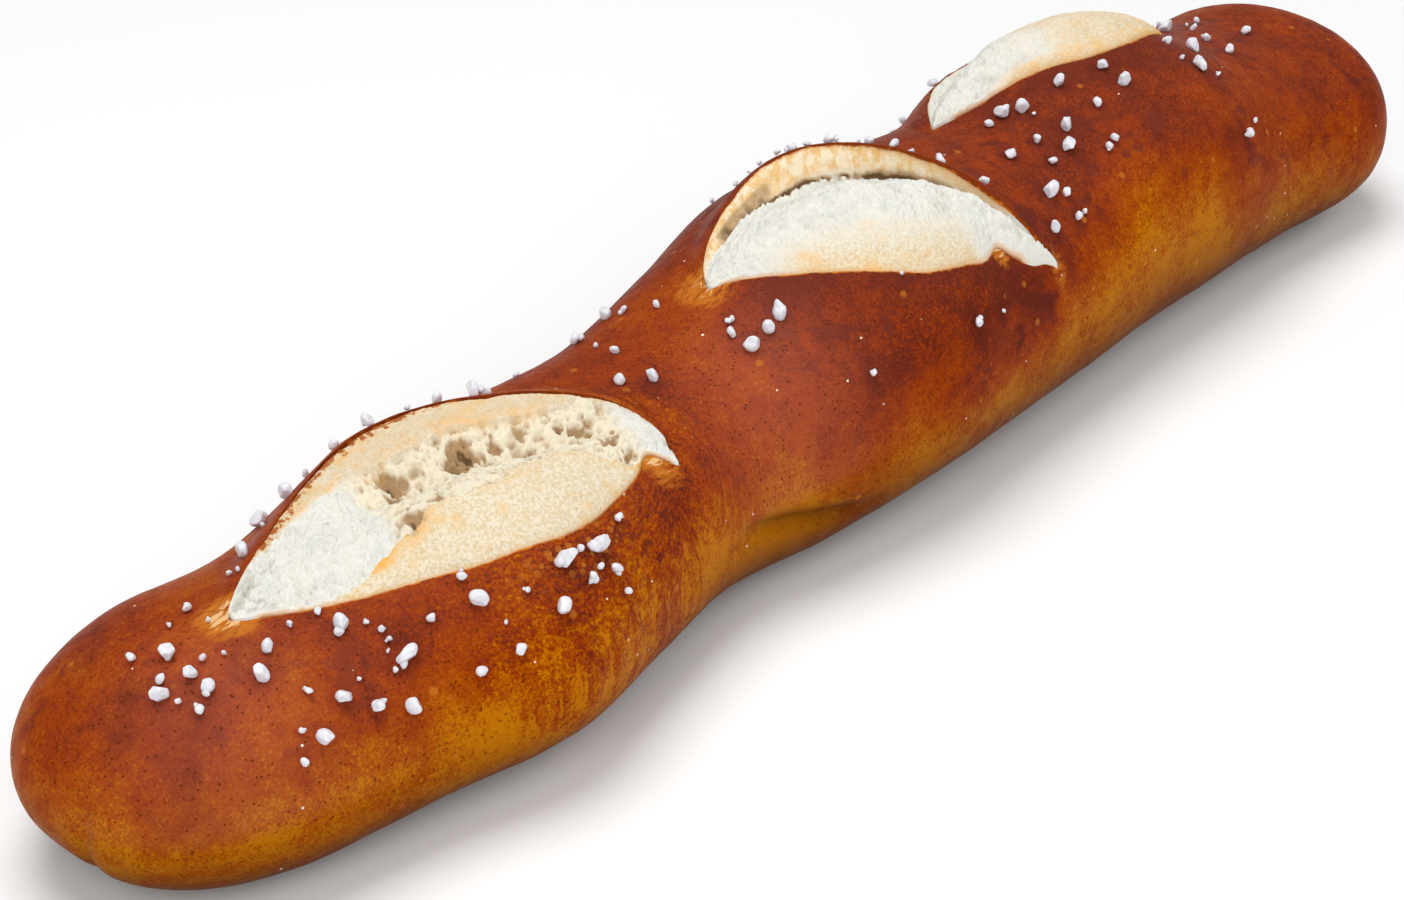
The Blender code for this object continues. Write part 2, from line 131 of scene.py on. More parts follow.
# Round places on top of the loaf, as x, y, radius and strength: where a pinkish sheen is painted
# into the crust's colour, and the soft dark spots on the near end.
PAINTED_SHEEN_PATCHES = ((-127, -10, 15, 1.0), (-112, -13, 11, 0.5), (-31, -17, 15, 1.1))
SCORCHED_SPOTS = (
    (-134.0, -0.4, 3.6, 0.60), (-128.7, 12.8, 3.0, 0.45), (-132.0, 10.0, 2.6, 0.40),
    (-129.9, -9.3, 3.4, 0.45), (-134.7, -11.6, 3.0, 0.40), (-137.3, -3.8, 2.2, 0.55),
    (-120.3, -8.8, 4.0, 0.45),
)
GOLDEN_PLACE = -88 * MM       # the flank is more golden about here along X
GOLDEN_SPREAD = 30 * MM
HALO = 0.95                   # reach of the dark halo round a grain, by the grain's size
HALO_FOOT = 12 * MM           # there is no halo below this height
FAR_AWAY = 30 * MM            # distances to the slashes are read no further than this

# ---------------------------------------------------------------- torn crumb
NEAR_DROP = 0.35              # the crumb meets the near lip this far below its edge, in mm
LIP_OVERLAP = 0.15 * MM       # the crumb runs on under the crust by this much
SLASH_DEPTH = 8.0 * MM        # depth of a slash's floor below its lowest tip
CUTTER_STEP = 0.5 * MM        # fineness of the lips' outline
FOOT_GAP = 0.02 * MM          # the crumb's foot lies this far over the floor of its slash
TIP_SHARPNESS = 0.5           # how soon the relief of the crumb and the lips grows from a tip
TIP_GAP = 0.006               # the crumb stops short of a tip by this share
VALLEY_OPENS = (0.18, 0.42)   # shares along the slash where the valley begins and is full
VALLEY_CLOSES = (0.74, 0.92)
VALLEY_LIMIT = 0.90           # the valley comes no closer to the far lip than this share
NEAR_OPENS = (0.26, 0.44)     # shares along the near slash where its first dome ends
NEAR_DOME = 0.8               # height of that dome, as a share of the slash's bulge
EDGE_SHARE = 0.04             # width of the crumb's turn down at the lips, as a share across
EDGE_WIDTH = 1.3 * MM         # the fine relief fades out towards the lips over this distance
# Borders in the near slash, as (share of the way along, share of the way across).
APRON_EDGE = (
    (0.08, 0.0), (0.22, 0.044), (0.29, 0.153), (0.33, 0.191), (0.39, 0.226), (0.42, 0.289),
    (0.46, 0.304), (0.51, 0.303), (0.58, 0.301), (0.64, 0.350), (0.74, 0.371), (0.78, 0.334),
    (0.82, 0.246), (0.85, 0.160), (0.89, 0.066), (0.93, 0.0),
)
BAND_EDGE = (
    (0.12, 0.95), (0.18, 0.831), (0.24, 0.843), (0.32, 0.787), (0.37, 0.796), (0.44, 0.768),
    (0.48, 0.765), (0.55, 0.778), (0.60, 0.790), (0.66, 0.794), (0.71, 0.804), (0.75, 0.817),
    (0.80, 0.830), (0.85, 0.863), (0.91, 1.1),
)
# Where the crevice of the middle slash is seen, and the width of its painted shade, as shares along and
# across.
CREVICE_LINE = (
    (0.08, 0.79), (0.16, 0.81), (0.24, 0.835), (0.32, 0.868), (0.40, 0.902), (0.48, 0.916),
    (0.56, 0.928), (0.64, 0.941), (0.72, 0.951), (0.80, 0.950), (0.88, 0.948),
)
CREVICE_WIDTH = (
    (0.06, 0.001), (0.12, 0.006), (0.30, 0.006), (0.38, 0.009), (0.46, 0.004), (0.56, 0.003),
    (0.60, 0.013), (0.66, 0.011), (0.76, 0.010), (0.82, 0.008), (0.88, 0.001),
)
CREAM_HEIGHT = 0.16           # how far the baked cream reaches up the middle slash's bulge
# Holes of the near slash: share along, share across, length, breadth and depth.
NAMED_PORES = (
    (0.597, 0.688, 3.6, 2.8, 1.4), (0.574, 0.658, 2.0, 1.4, 1.7), (0.437, 0.696, 1.9, 2.4, 1.3),
    (0.465, 0.680, 1.5, 1.4, 0.9), (0.668, 0.686, 1.5, 1.6, 0.9), (0.730, 0.738, 1.7, 1.9, 0.9),
    (0.733, 0.638, 1.6, 1.1, 0.7), (0.809, 0.712, 1.2, 1.2, 1.2), (0.838, 0.674, 1.7, 1.8, 1.3),
    (0.864, 0.359, 2.4, 2.6, 1.0), (0.888, 0.159, 2.0, 1.4, 1.0), (0.461, 0.338, 1.2, 0.9, 0.7),
    (0.393, 0.295, 2.8, 2.4, 0.9), (0.128, 0.706, 2.0, 1.1, 0.6), (0.050, 0.674, 2.6, 2.4, 0.5),
)
# Small holes: spacing, depth, share of places left closed, and step of the random seed.
PORE_SIZES = ((2.7, 0.75, 0.30, 0), (1.6, 0.55, 0.35, 7), (0.9, 0.32, 0.30, 13))
PORE_DARKEST = 1.45           # the painted shade on the floor of the deepest pores stays this pale
TIP_GREY = 0.75               # how far the near slash's tip is darkened by painted shade
# Webs, fibres and tufts of torn crumb: step of the random seed, fineness, and stretch across.
STRANDS = ((0, 1.1, 1.5), (9, 1.9, 3.0), (13, 0.7, 2.2))
RAGGED_RIM = {"near": 1.9, "middle": 0.2, "far": 0.2}  # breadth of the browned far rim

# ---------------------------------------------------------------- coarse salt
# Patches where salt lies: x, y, spread in x, spread in y, and share of grains.
SALT_PATCHES = (
    (-106, -16, 12, 6.0, 24), (-84, -27, 9, 3.0, 14), (-126, -3, 4, 5.0, 9),
    (-69, -24, 5, 2.5, 6), (-42, 3, 7, 7.0, 13), (-26, -6, 3, 4.5, 8), (-8, -22, 9, 3.0, 6),
    (12, -26, 5, 1.5, 3), (48, -9, 8, 6.0, 12), (38, -17, 5, 3.0, 5), (78, -14, 9, 7.0, 6),
    (-96, 18, 10, 3.0, 5), (-62, 14, 8, 4.0, 4), (8, 17, 14, 3.0, 6), (64, 19, 14, 2.5, 5),
    (112, 4, 8, 8.0, 5),
)
# Rows of salt behind the far lips: number of the slash, from and to as shares along it, and
# share of the grains.
SALT_ROWS = ((0, 0.06, 0.75, 13), (1, 0.12, 0.85, 12))
SALT_ROW_WIDTH = (0.9 * MM, 3.4 * MM)       # how far behind the lip they lie
SALT_COUNT = 96               # grains that the solid part has too
SALT_LARGEST = 2.8 * MM
SALT_SMALLEST = 1.4 * MM
SALT_CRUMBS = 50              # smaller grains between them
SALT_CRUMB_SIZE = (0.6 * MM, 1.3 * MM)
SALT_TWINS = 0.35             # share of grains with a second crystal grown on to them
TWIN_SIZE = (0.45, 0.65)      # its size, as a share of the grain's
TWIN_ASIDE = 0.45             # how far aside of the grain's middle it sits
SALT_SINK = 0.28              # share of a grain's radius that is sunk in the crust
SALT_GAP = 0.35 * MM
SALT_TRIES = 200              # places tried for a grain before it is left out
SALT_SEED = 7
CRYSTAL_STRETCH = ((0.92, 1.18), (0.72, 0.95), (0.66, 0.88))  # along the crystal's own axes
CRYSTAL_FACES = (8, 12)
CRYSTAL_FACE_HEIGHTS = (0.66, 0.98)
CRYSTAL_WEAR = 60.0           # how sharp the edges between the faces are
CRYSTAL_BALL = 1.08           # no corner stands out further than this
FINE_CRYSTAL = 1.9 * MM       # crystals above this size get the finer mesh

# ---------------------------------------------------------------- fineness
CRUST_STEP = 0.68 * MM
CRUMB_STEP = 0.2 * MM
UPPER_LAP = 130 * MM          # length round the loaf of its upper side and its flanks
UNDER_LAP = 22 * MM           # the same for the underside, which has coarser faces
LOWER_FLANK = math.radians(-35)


# ================================================================ numbers
def settle(thing, **values):
    """Sets several properties of a thing, and gives it back."""
    for name, value in values.items():
        setattr(thing, name, value)
    return thing


def scrambled(place, seed):
    """A repeatable number from 0 to 1 for each whole place."""
    x, y, z = np.moveaxis(place, -1, 0)
    n = (x * 374761393 + y * 668265263 + z * 974634777 + seed * 362437) & 0xFFFFFFFF
    n = ((n ^ (n >> 13)) * 1274126177) & 0xFFFFFFFF
    n = ((n ^ (n >> 16)) * 2246822519) & 0xFFFFFFFF
    return ((n ^ (n >> 15)) & 0xFFFFFF) / 0xFFFFFF


def noise(points, size, seed):
    """Smooth noise from -1 to 1, with bumps about as far apart as size."""
    place = points / size
    corner = np.floor(place).astype(np.int64)
    t = place - corner
    t = t * t * (3 - 2 * t)
    total = 0.0
    for step in product((0, 1), repeat=3):
        x, y, z = (t[..., k] if step[k] else 1 - t[..., k] for k in range(3))
        total = total + x * y * z * scrambled(corner + step, seed)
    return total * 2 - 1


def layered(points, size, seed, layers=3, fade=0.5):
    """Noise with finer and weaker layers on top."""
    total = 0.0
    for layer in range(layers):
        total = total + noise(points, size / 2**layer, seed + layer) * fade**layer
    return total


def cells(points, size, seed):
    """Distance to the nearest of many scattered centres, as a share of size, and its number."""
    place = points / size
    corner = np.floor(place).astype(np.int64)
    best = np.full(place.shape[:-1], 9.0)
    mark = np.zeros(place.shape[:-1])
    for step in product((-1, 0, 1), repeat=3):
        cell = corner + step
        gaps = (cell[..., k] + scrambled(cell, seed + k) - place[..., k] for k in range(3))
        distance = np.sqrt(sum(gap**2 for gap in gaps))
        closer = distance < best
        best = np.where(closer, distance, best)
        mark = np.where(closer, scrambled(cell, seed + 3), mark)
    return best, mark


def ramp(value, low, high):
    """0 below low, 1 above high and smooth between them."""
    share = np.clip((value - low) / (high - low), 0, 1)
    return share * share * (3 - 2 * share)


def window(value, start, full, fading, end):
    """1 from full to fading, and 0 before start and after end."""
    return ramp(value, start, full) * (1 - ramp(value, fading, end))


def bell(value, middle, width):
    """1 at the middle, fading away on both sides."""
    return np.exp(-(((value - middle) / width) ** 2))


def read_table(table, place):
    """A value from (place, value) pairs, with straight lines between them."""
    return np.interp(place, *zip(*table))


def tip_fade(along):
    """0 at the tips of a slash, growing soon to 1 between them."""
    return np.abs(np.sin(np.pi * np.clip(along, 0, 1))) ** TIP_SHARPNESS


# ================================================================ the loaf's skin
def through_stations(column, x):
    """A smooth curve through one column of STATIONS, read at x (metres)."""
    values = np.array([row[column] for row in STATIONS]) * MM
    last = len(values) - 1
    place = np.clip((x / LENGTH + 0.5) * last, 0, last - 1e-9)
    left = place.astype(int)
    t = place - left
    slopes = np.gradient(values)
    a = values[left]
    b = values[left + 1]
    rise = (2 * t**3 - 3 * t**2 + 1) * a + (3 * t**2 - 2 * t**3) * b
    return rise + (t**3 - 2 * t**2 + t) * slopes[left] + (t**3 - t**2) * slopes[left + 1]


def cap_factor(x):
    """1 along the loaf, closing to 0 at both ends."""
    near = np.clip((NEAR_CAP - LENGTH / 2 - x) / NEAR_CAP, 0, 1)
    far = np.clip((x - LENGTH / 2 + FAR_CAP) / FAR_CAP, 0, 1)
    near, far = ((1 - cap**CAP_POWER) ** (1 / CAP_POWER) for cap in (near, far))
    return near * far


def section(x):
    """Half widths towards -Y and +Y, belly height, height above it, closing and middle of Y."""
    near, height, far = (through_stations(column, x) for column in range(3))
    closing = cap_factor(x)
    middle = (far - near) / 2 * (1 - closing)
    belly = BELLY * height
    return near, far, belly, height - belly, closing, middle


def bent_power(value):
    return np.sign(value) * np.abs(value) ** SECTION_POWER


def skin_point(x, angle):
    """The loaf's skin, without relief, at x and an angle round it (0 is +Y, 90 degrees is up)."""
    near, far, belly, rise, closing, middle = section(x)
    across = bent_power(np.cos(angle))
    up = bent_power(np.sin(angle))
    y = middle + closing * np.where(across > 0, far, near) * across
    z = belly + closing * np.where(up > 0, rise, belly * FLATTEN) * up
    return y, z


def top_height(x, y):
    """Height of the upper skin at a place in plan."""
    near, far, belly, rise, closing, middle = section(x)
    side = y - middle
    half = closing * np.where(side > 0, far, near)
    share = np.clip(np.abs(side) / np.maximum(half, 1e-6), 0, 1)
    up = np.sqrt(1 - share ** (2 / SECTION_POWER))
    return belly + closing * rise * up**SECTION_POWER


# ================================================================ slashes in plan
# A lip stands off the line between the slash's tips by
# reach * sin(pi * along**skew)**fullness, where fullness changes from its first value at the
# start to its second at the end, and the crust along the lip is raised by rise.
Lip = namedtuple("Lip", "reach skew fullness rise")


class Slash:
    """A slash that opens between two tips; its near lip is number -1 and its far lip 1."""

    def __init__(self, name, tips, near, far, **crumb):
        self.name = name
        self.tips = np.array(tips) * MM
        run = self.tips[1] - self.tips[0]
        self.length = math.hypot(*run)
        self.width = far.reach * MM - near.reach * MM
        self.forward = run / self.length
        self.left = np.array((-self.forward[1], self.forward[0]))
        self.lips = {-1: near, 1: far}
        settle(self, **crumb)

    def place(self, x, y):
        """Share of the way along (0 to 1 between the tips), and distance across."""
        dx = x - self.tips[0, 0]
        dy = y - self.tips[0, 1]
        along = (dx * self.forward[0] + dy * self.forward[1]) / self.length
        return along, dx * self.left[0] + dy * self.left[1]

    def point(self, along, across):
        """The place in plan at a share along and a distance across."""
        run = self.forward * self.length
        return tuple(self.tips[0, k] + run[k] * along + self.left[k] * across for k in (0, 1))

    def past_tip(self, along):
        """How far a place lies beyond the tips."""
        return np.maximum(np.maximum(-along, along - 1), 0) * self.length

    def reach(self, side, along):
        """How far a lip stands off the line between the tips."""
        lip = self.lips[side]
        inside = np.clip(along, 0, 1)
        fullness = lip.fullness[0] + (lip.fullness[1] - lip.fullness[0]) * inside
        return lip.reach * MM * np.abs(np.sin(np.pi * inside**lip.skew)) ** fullness

    def ragged(self, side, along):
        """The same with the small unevenness and the teeth of torn crust."""
        row = np.full(along.shape, side * LIPS_APART)
        place = np.stack([along * self.length, row, along * 0], axis=-1)
        uneven = layered(place, RAG_SIZE, 31 + side, 4, 0.55)
        reach = self.reach(side, along) + RAGGEDNESS[side] * uneven * tip_fade(along)
        for place, spread, height in LIP_TEETH.get((self.name, side), ()):
            reach = reach + height * MM * bell(along, place, spread)
        return reach

    def gaps(self, x, y):
        """Share along, distance across, and distances out to the near lip, the far lip and both."""
        along, across = self.place(x, y)
        to_near = self.ragged(-1, along) - across
        to_far = across - self.ragged(1, along)
        past_tip = self.past_tip(along)
        gap = np.where(past_tip > 0, np.hypot(past_tip, across), np.maximum(to_near, to_far))
        return along, across, to_near, to_far, gap

    def floor(self):
        """Height of the slash's floor."""
        return min(float(top_height(*tip)) for tip in self.tips) - SLASH_DEPTH


# Name, tips, lips, height of the crumb's bulge, how much higher it is at the end, depth, place
# (share across at the start and at the end) and width (share across) of the valley behind the
# bulge, and how far below the far lip the crumb meets it.
SLASHES = (
    Slash(
        "near", ((-118.5, -1.5), (-51.6, -17.5)),
        Lip(-9.6, 1.25, (0.5, 2.4), 0.8), Lip(21.7, 1.08, (0.78, 0.48), 3.4),
        bulge=2.6, tilt=0.0, valley=2.6, valley_place=(0.60, 0.60), valley_width=0.13, far_drop=1.5,
    ),
    Slash(
        "middle", ((-25.8, 0.0), (28.5, -24.5)),
        Lip(-8.0, 0.96, (1.3, 1.9), 0.8), Lip(20.5, 0.8, (0.75, 1.6), 4.2),
        bulge=3.5, tilt=0.37, valley=3.3, valley_place=(0.76, 0.96), valley_width=0.22, far_drop=0.45,
    ),
    Slash(
        "far", ((35.7, 6.0), (92.0, -0.8)),
        Lip(-5.0, 1.7, (2.0, 0.9), 0.8), Lip(18.5, 1.0, (0.9, 0.6), 2.5),
        bulge=4.45, tilt=0.0, valley=1.0, valley_place=(0.84, 0.84), valley_width=0.09, far_drop=0.6,
    ),
)


def lip_rise(x, y):
    """How much the crust stands up beside the lips at a place in plan."""
    rise = np.zeros(np.broadcast(x, y).shape)
    for slash in SLASHES:
        along, across = slash.place(x, y)
        reach = {side: slash.reach(side, along) for side in slash.lips}
        centre = (reach[-1] + reach[1]) / 2
        for side, lip in slash.lips.items():
            outside = np.maximum(side * (across - reach[side]), 0)
            distance = np.hypot(outside, slash.past_tip(along))
            swell = lip.rise * MM * tip_fade(along) * ramp(1 - distance / LIP_WIDTH, 0, 1)
            rise = np.maximum(rise, np.where(side * across > side * centre, swell, 0))
    return rise


# ================================================================ meshes from arrays
def add_object(name, data, collection=None):
    thing = bpy.data.objects.new(name, data)
    (collection or bpy.context.scene.collection).objects.link(thing)
    return thing


def mesh_object(name, points, faces, collection=None):
    """An object from an array of points and a list of faces."""
    mesh = bpy.data.meshes.new(name)
    mesh.from_pydata(points.tolist(), [], faces)
    mesh.update()
    return add_object(name, mesh, collection)


def grid_faces(rows, columns, closed):
    """Four-cornered faces over a grid of points; closed joins the last column to the first."""
    across = columns if closed else columns - 1
    i, j = np.meshgrid(np.arange(rows - 1), np.arange(across), indexing="ij")
    here = i * columns + j
    after = i * columns + (j + 1) % columns
    return np.stack([here, after, after + columns, here + columns], axis=-1).reshape(-1, 4).tolist()


def face_outwards(thing):
    shape = bmesh.new()
    shape.from_mesh(thing.data)
    bmesh.ops.recalc_face_normals(shape, faces=shape.faces)
    shape.to_mesh(thing.data)
    shape.free()


def vertex_array(mesh):
    values = np.empty(len(mesh.vertices) * 3, dtype=np.float32)
    mesh.vertices.foreach_get("co", values)
    return values.reshape(-1, 3).astype(np.float64)


def add_fields(mesh, fields):
    """Numbers at each vertex, which the material reads by name."""
    for name, values in fields.items():
        field = mesh.attributes.new(name, "FLOAT", "POINT")
        field.data.foreach_set("value", np.ascontiguousarray(values, dtype=np.float32))


def add_map(mesh, across, along, turn=None):
    """The UV map; turn is the length of one lap round the piece, where the map has a seam."""
    loops = np.empty(len(mesh.loops), dtype=np.int32)
    mesh.loops.foreach_get("vertex_index", loops)
    u = across[loops]
    if turn is not None:
        starts = np.empty(len(mesh.polygons), dtype=np.int32)
        mesh.polygons.foreach_get("loop_start", starts)
        highest = np.maximum.reduceat(u, starts)
        sizes = np.diff(np.append(starts, len(loops)))
        u = u + turn * (np.repeat(highest, sizes) - u > turn / 2)
    layer = mesh.uv_layers.new(name="OFBake")
    layer.data.foreach_set("uv", np.stack([u, along[loops]], axis=-1).astype(np.float32).ravel())


# ================================================================ crust
def ring_positions():
    """Places of the rings along X: even along the loaf, closing in over the round ends."""
    cap_rings = int(1.3 * NEAR_CAP / CRUST_STEP)
    steps = np.linspace(0, math.pi / 2, cap_rings + 1)[1:-1]
    reach = np.sin(steps) ** (2 / CAP_POWER)
    near_start = -LENGTH / 2 + NEAR_CAP
    far_start = LENGTH / 2 - FAR_CAP
    body = np.linspace(near_start, far_start, int((far_start - near_start) / CRUST_STEP))
    return np.concatenate([near_start - NEAR_CAP * reach[::-1], body, far_start + FAR_CAP * reach])


def ring_angles():
    """Angles round the loaf: fine on the upper side and the flanks, coarse underneath."""
    upper_end = math.pi - LOWER_FLANK
    upper = np.linspace(LOWER_FLANK, upper_end, int(UPPER_LAP / CRUST_STEP) + 1)
    under = np.linspace(upper_end, 2 * math.pi + LOWER_FLANK, int(UNDER_LAP / CRUST_STEP) + 1)
    return np.concatenate([upper, under[1:-1]])


def end_fold(x, y, z):
    """Depth of the upright crease in the near end; the dough beside it stands back a little."""
    side = y - FOLD_SIDE - 0.9 * MM * np.sin(z / (4 * MM))
    across = 0.75 * bell(side, 0, FOLD_WIDTH)
    beside = 0.25 * window(side, -1.5 * MM, 1.5 * MM, 3 * MM, 12 * MM)
    low = ramp(FOLD_TOP - z, 0, FOLD_TOP / 2)
    by_the_tip = ramp(-LENGTH / 2 + FOLD_LENGTH - x, 0, FOLD_LENGTH / 2)
    return FOLD_DEPTH * (across + beside) * low * by_the_tip


def low_crease(x, y, z):
    """Strength of the lazy crease low on the near flank, between the near and the middle lobe."""
    share = (x - CREASE_PLACE) / CREASE_HALF
    line = CREASE_HEIGHT - CREASE_FALL * share
    return bell(z, line, CREASE_WIDTH) * np.exp(-(share**4)) * (y < 0)


def crust_relief(points):
    """Height of the small unevenness of the crust over the smooth skin."""
    lumps = LUMP_HEIGHT * (layered(points, LUMP_SIZE, 3, 2) - 0.9)
    waves = WAVE_HEIGHT * layered(points, WAVE_SIZE, 5)
    return lumps + waves - CREASE_DEPTH * low_crease(*np.moveaxis(points, -1, 0))


def crust_points(x, angle):
    y, z = skin_point(x, angle)
    z = z + lip_rise(x, y) * np.clip(np.sin(angle) * 3, 0, 1)
    x = np.broadcast_to(x, y.shape)
    points = np.stack([x, y, z], axis=-1)
    out = crust_relief(points) * ramp(z, 0.0, RELIEF_STARTS)
    points[..., 0] += end_fold(x, y, z)
    points[..., 1] += out * np.cos(angle)
    points[..., 2] = np.maximum(z + out * np.sin(angle), 0)
    return points


def whole_crust():
    """The crust as rings along the loaf, closed at both tips and not yet cut open."""
    points = crust_points(ring_positions()[:, None], ring_angles()[None, :])
    rows, columns = points.shape[:2]
    faces = grid_faces(rows, columns, True)
    tips = []
    for x in (-LENGTH / 2, LENGTH / 2):
        _, _, belly, _, _, middle = section(x)
        tips.append((x, middle, belly))
    near_tip = rows * columns
    last = near_tip - columns
    for j in range(columns):
        after = (j + 1) % columns
        faces.append((near_tip, after, j))
        faces.append((near_tip + 1, last + j, last + after))
    return mesh_object("crust", np.concatenate([points.reshape(-1, 3), np.array(tips)]), faces)


def slash_cutter(slash, collection):
    """An upright prism over the eye between the two ragged lips."""
    along = 0.5 - 0.5 * np.cos(np.linspace(0, 1, int(slash.length / CUTTER_STEP)) * math.pi)
    lips = [
        np.stack(slash.point(share, slash.ragged(side, share)), axis=-1)
        for side, share in ((-1, along), (1, along[-2:0:-1]))
    ]
    outline = np.concatenate(lips)
    number = len(outline)
    ends = [np.column_stack([outline, np.full(number, z)]) for z in (slash.floor(), LENGTH / 4)]
    sides = [(i, (i + 1) % number, number + (i + 1) % number, number + i) for i in range(number)]
    caps = [tuple(range(number - 1, -1, -1)), tuple(range(number, 2 * number))]
    cutter = mesh_object("cutter_" + slash.name, np.concatenate(ends), sides + caps, collection)
    face_outwards(cutter)


def cut_slashes(crust):
    """Cuts the three eyes out of the crust, and removes the cutters."""
    cutters = bpy.data.collections.new("slash_cutters")
    bpy.context.scene.collection.children.link(cutters)
    for slash in SLASHES:
        slash_cutter(slash, cutters)
    modifier = crust.modifiers.new("slashes", "BOOLEAN")
    settle(modifier, operation="DIFFERENCE", operand_type="COLLECTION", solver="MANIFOLD")
    modifier.collection = cutters
    evaluated = crust.evaluated_get(bpy.context.evaluated_depsgraph_get())
    cut = bpy.data.meshes.new_from_object(evaluated)
    crust.modifiers.remove(modifier)
    crust.data = cut
    for cutter in list(cutters.objects):
        bpy.data.objects.remove(cutter, do_unlink=True)
    bpy.data.collections.remove(cutters)


def salt_halo(x, y, z):
    """Closeness to a grain of salt, from 0 to 1: the crust is darker round it."""
    halo = np.zeros(len(x))
    for grain_x, grain_y, size in salt_places():
        away = np.hypot(x - grain_x, y - grain_y)
        halo = np.maximum(halo, bell(away, 0, size * HALO))
    return halo * (z > HALO_FOOT)


def spots_at(spots, x, y):
    """The strongest of several round spots at a place in plan."""
    strongest = np.zeros(len(x))
    for spot_x, spot_y, radius, strength in spots:
        away = np.hypot(x - spot_x * MM, y - spot_y * MM)
        strongest = np.maximum(strongest, strength * bell(away, 0, radius * MM))
    return strongest


def baked_depth(points, height):
    """How dark the crust is baked: 0 low on the flanks to 1 on top."""
    uneven = 0.07 * layered(points, 30 * MM, 11, 3, 0.55)
    line = read_table(BAKED_LINE, points[:, 0] / MM)
    darker = read_table(BAKED_STRENGTH, points[:, 0] / MM)
    return ramp(height + uneven, line - 0.24, line + 0.18) * darker


def lip_fields(x, y):
    """Distance to the slashes, whether that is a near lip, torn places, and dark below a lip."""
    distance = np.full(len(x), FAR_AWAY)
    near_side, tip, beside = np.zeros((3, len(x)))
    for slash in SLASHES:
        along, across, to_near, to_far, gap = slash.gaps(x, y)
        on_near = (to_near > to_far) & (slash.past_tip(along) == 0)
        near_side = np.where(gap < distance, on_near, near_side)
        distance = np.minimum(distance, gap)
        for name, place, side, reach, strength in TEARS:
            if name == slash.name:
                away = np.hypot((along - place) * slash.length, across - side * MM)
                tip = np.maximum(tip, strength * (1 - away / (reach * MM)))
        dark = bell(to_near, 0, LIP_REACH[slash.name]) * (to_near > 0)
        dark = dark * window(along, 0.0, 0.16, 0.72, 0.98)
        beside = np.maximum(beside, dark * LIP_STRENGTH[slash.name])
    return distance, near_side, tip, beside


def stretch_fields(x, y):
    """Places round the near slash, and where the crust beside it is stretched or blistered."""
    slash = SLASHES[0]
    along, _, to_near, _, gap = slash.gaps(x, y)
    gap = gap / MM
    lobe = bell((along - 0.72) ** 2, 0, 0.34**2) * ramp(-y, 2 * MM, 8 * MM)
    stretched = bell(along, 0.80, 0.34) * (y < -4 * MM)
    return {
        "flow": np.clip(gap, 0, 40),
        "round": along * slash.length / MM,
        "lobe": lobe * (1 - ramp(gap, 8, 20)),
        "stretched": stretched * window(gap, 1, 4, 11, 18),
        "blistered": bell(along, 0.66, 0.13) * bell(to_near, 2.4 * MM, 2 * MM),
    }


def crust_fields(crust):
    """What the crust's material reads: depth of baking, distances to the slashes, spots, and painted
    sheen and shade.
    """
    points = vertex_array(crust.data)
    x, y, z = points.T
    _, _, belly, rise, _, middle = section(x)
    height = z / (belly + rise)
    upper = ramp(z - belly, -2 * MM, 2 * MM)
    distance, near_side, tip, beside = lip_fields(x, y)
    # painted sheen: a pinkish tint grows towards the loaf's crown
    top_sheen = 0.3 * ramp(z - belly, 0.35 * rise, 0.95 * rise)
    foot = read_table(FOOT_SHADE_HEIGHT, x / MM) * MM
    add_fields(crust.data, {
        **stretch_fields(x, y),
        "baked": baked_depth(points, height),
        "lip": np.where(upper > 0, np.clip(distance / MM, -3, 30), 30),
        "near_side": near_side * upper,
        "below": np.clip((top_height(x, y) + lip_rise(x, y) - z) / MM, -2, 20),
        "tip": np.clip(tip, 0, 1) * upper,
        "near_lip": beside * upper,
        "halo": salt_halo(x, y, z),
        # painted shade in the crease low on the near flank
        "crease": low_crease(x, y, z - 1.0 * MM),
        "painted_sheen": np.maximum(top_sheen, spots_at(PAINTED_SHEEN_PATCHES, x, y) * upper),
        "scorched": spots_at(SCORCHED_SPOTS, x, y) * upper,
        "golden": bell(x, GOLDEN_PLACE, GOLDEN_SPREAD) * (1 - ramp(height, 0.35, 0.72)),
        # painted shade: the low flank darkens towards the floor
        "foot": 1 - ramp(z, foot / 8, foot),
    })
    angle = np.arctan2(z - belly, y - middle)
    lap = math.tau * MAP_RADIUS / LENGTH
    turned = (angle + math.pi / 2) % math.tau
    add_map(crust.data, turned * MAP_RADIUS / LENGTH, x / LENGTH + 0.5, lap)


def make_crust():
    crust = whole_crust()
    cut_slashes(crust)
    crust_fields(crust)
    crust.data.shade_smooth()
    crust.data.set_sharp_from_angle(angle=math.radians(50))
    return crust


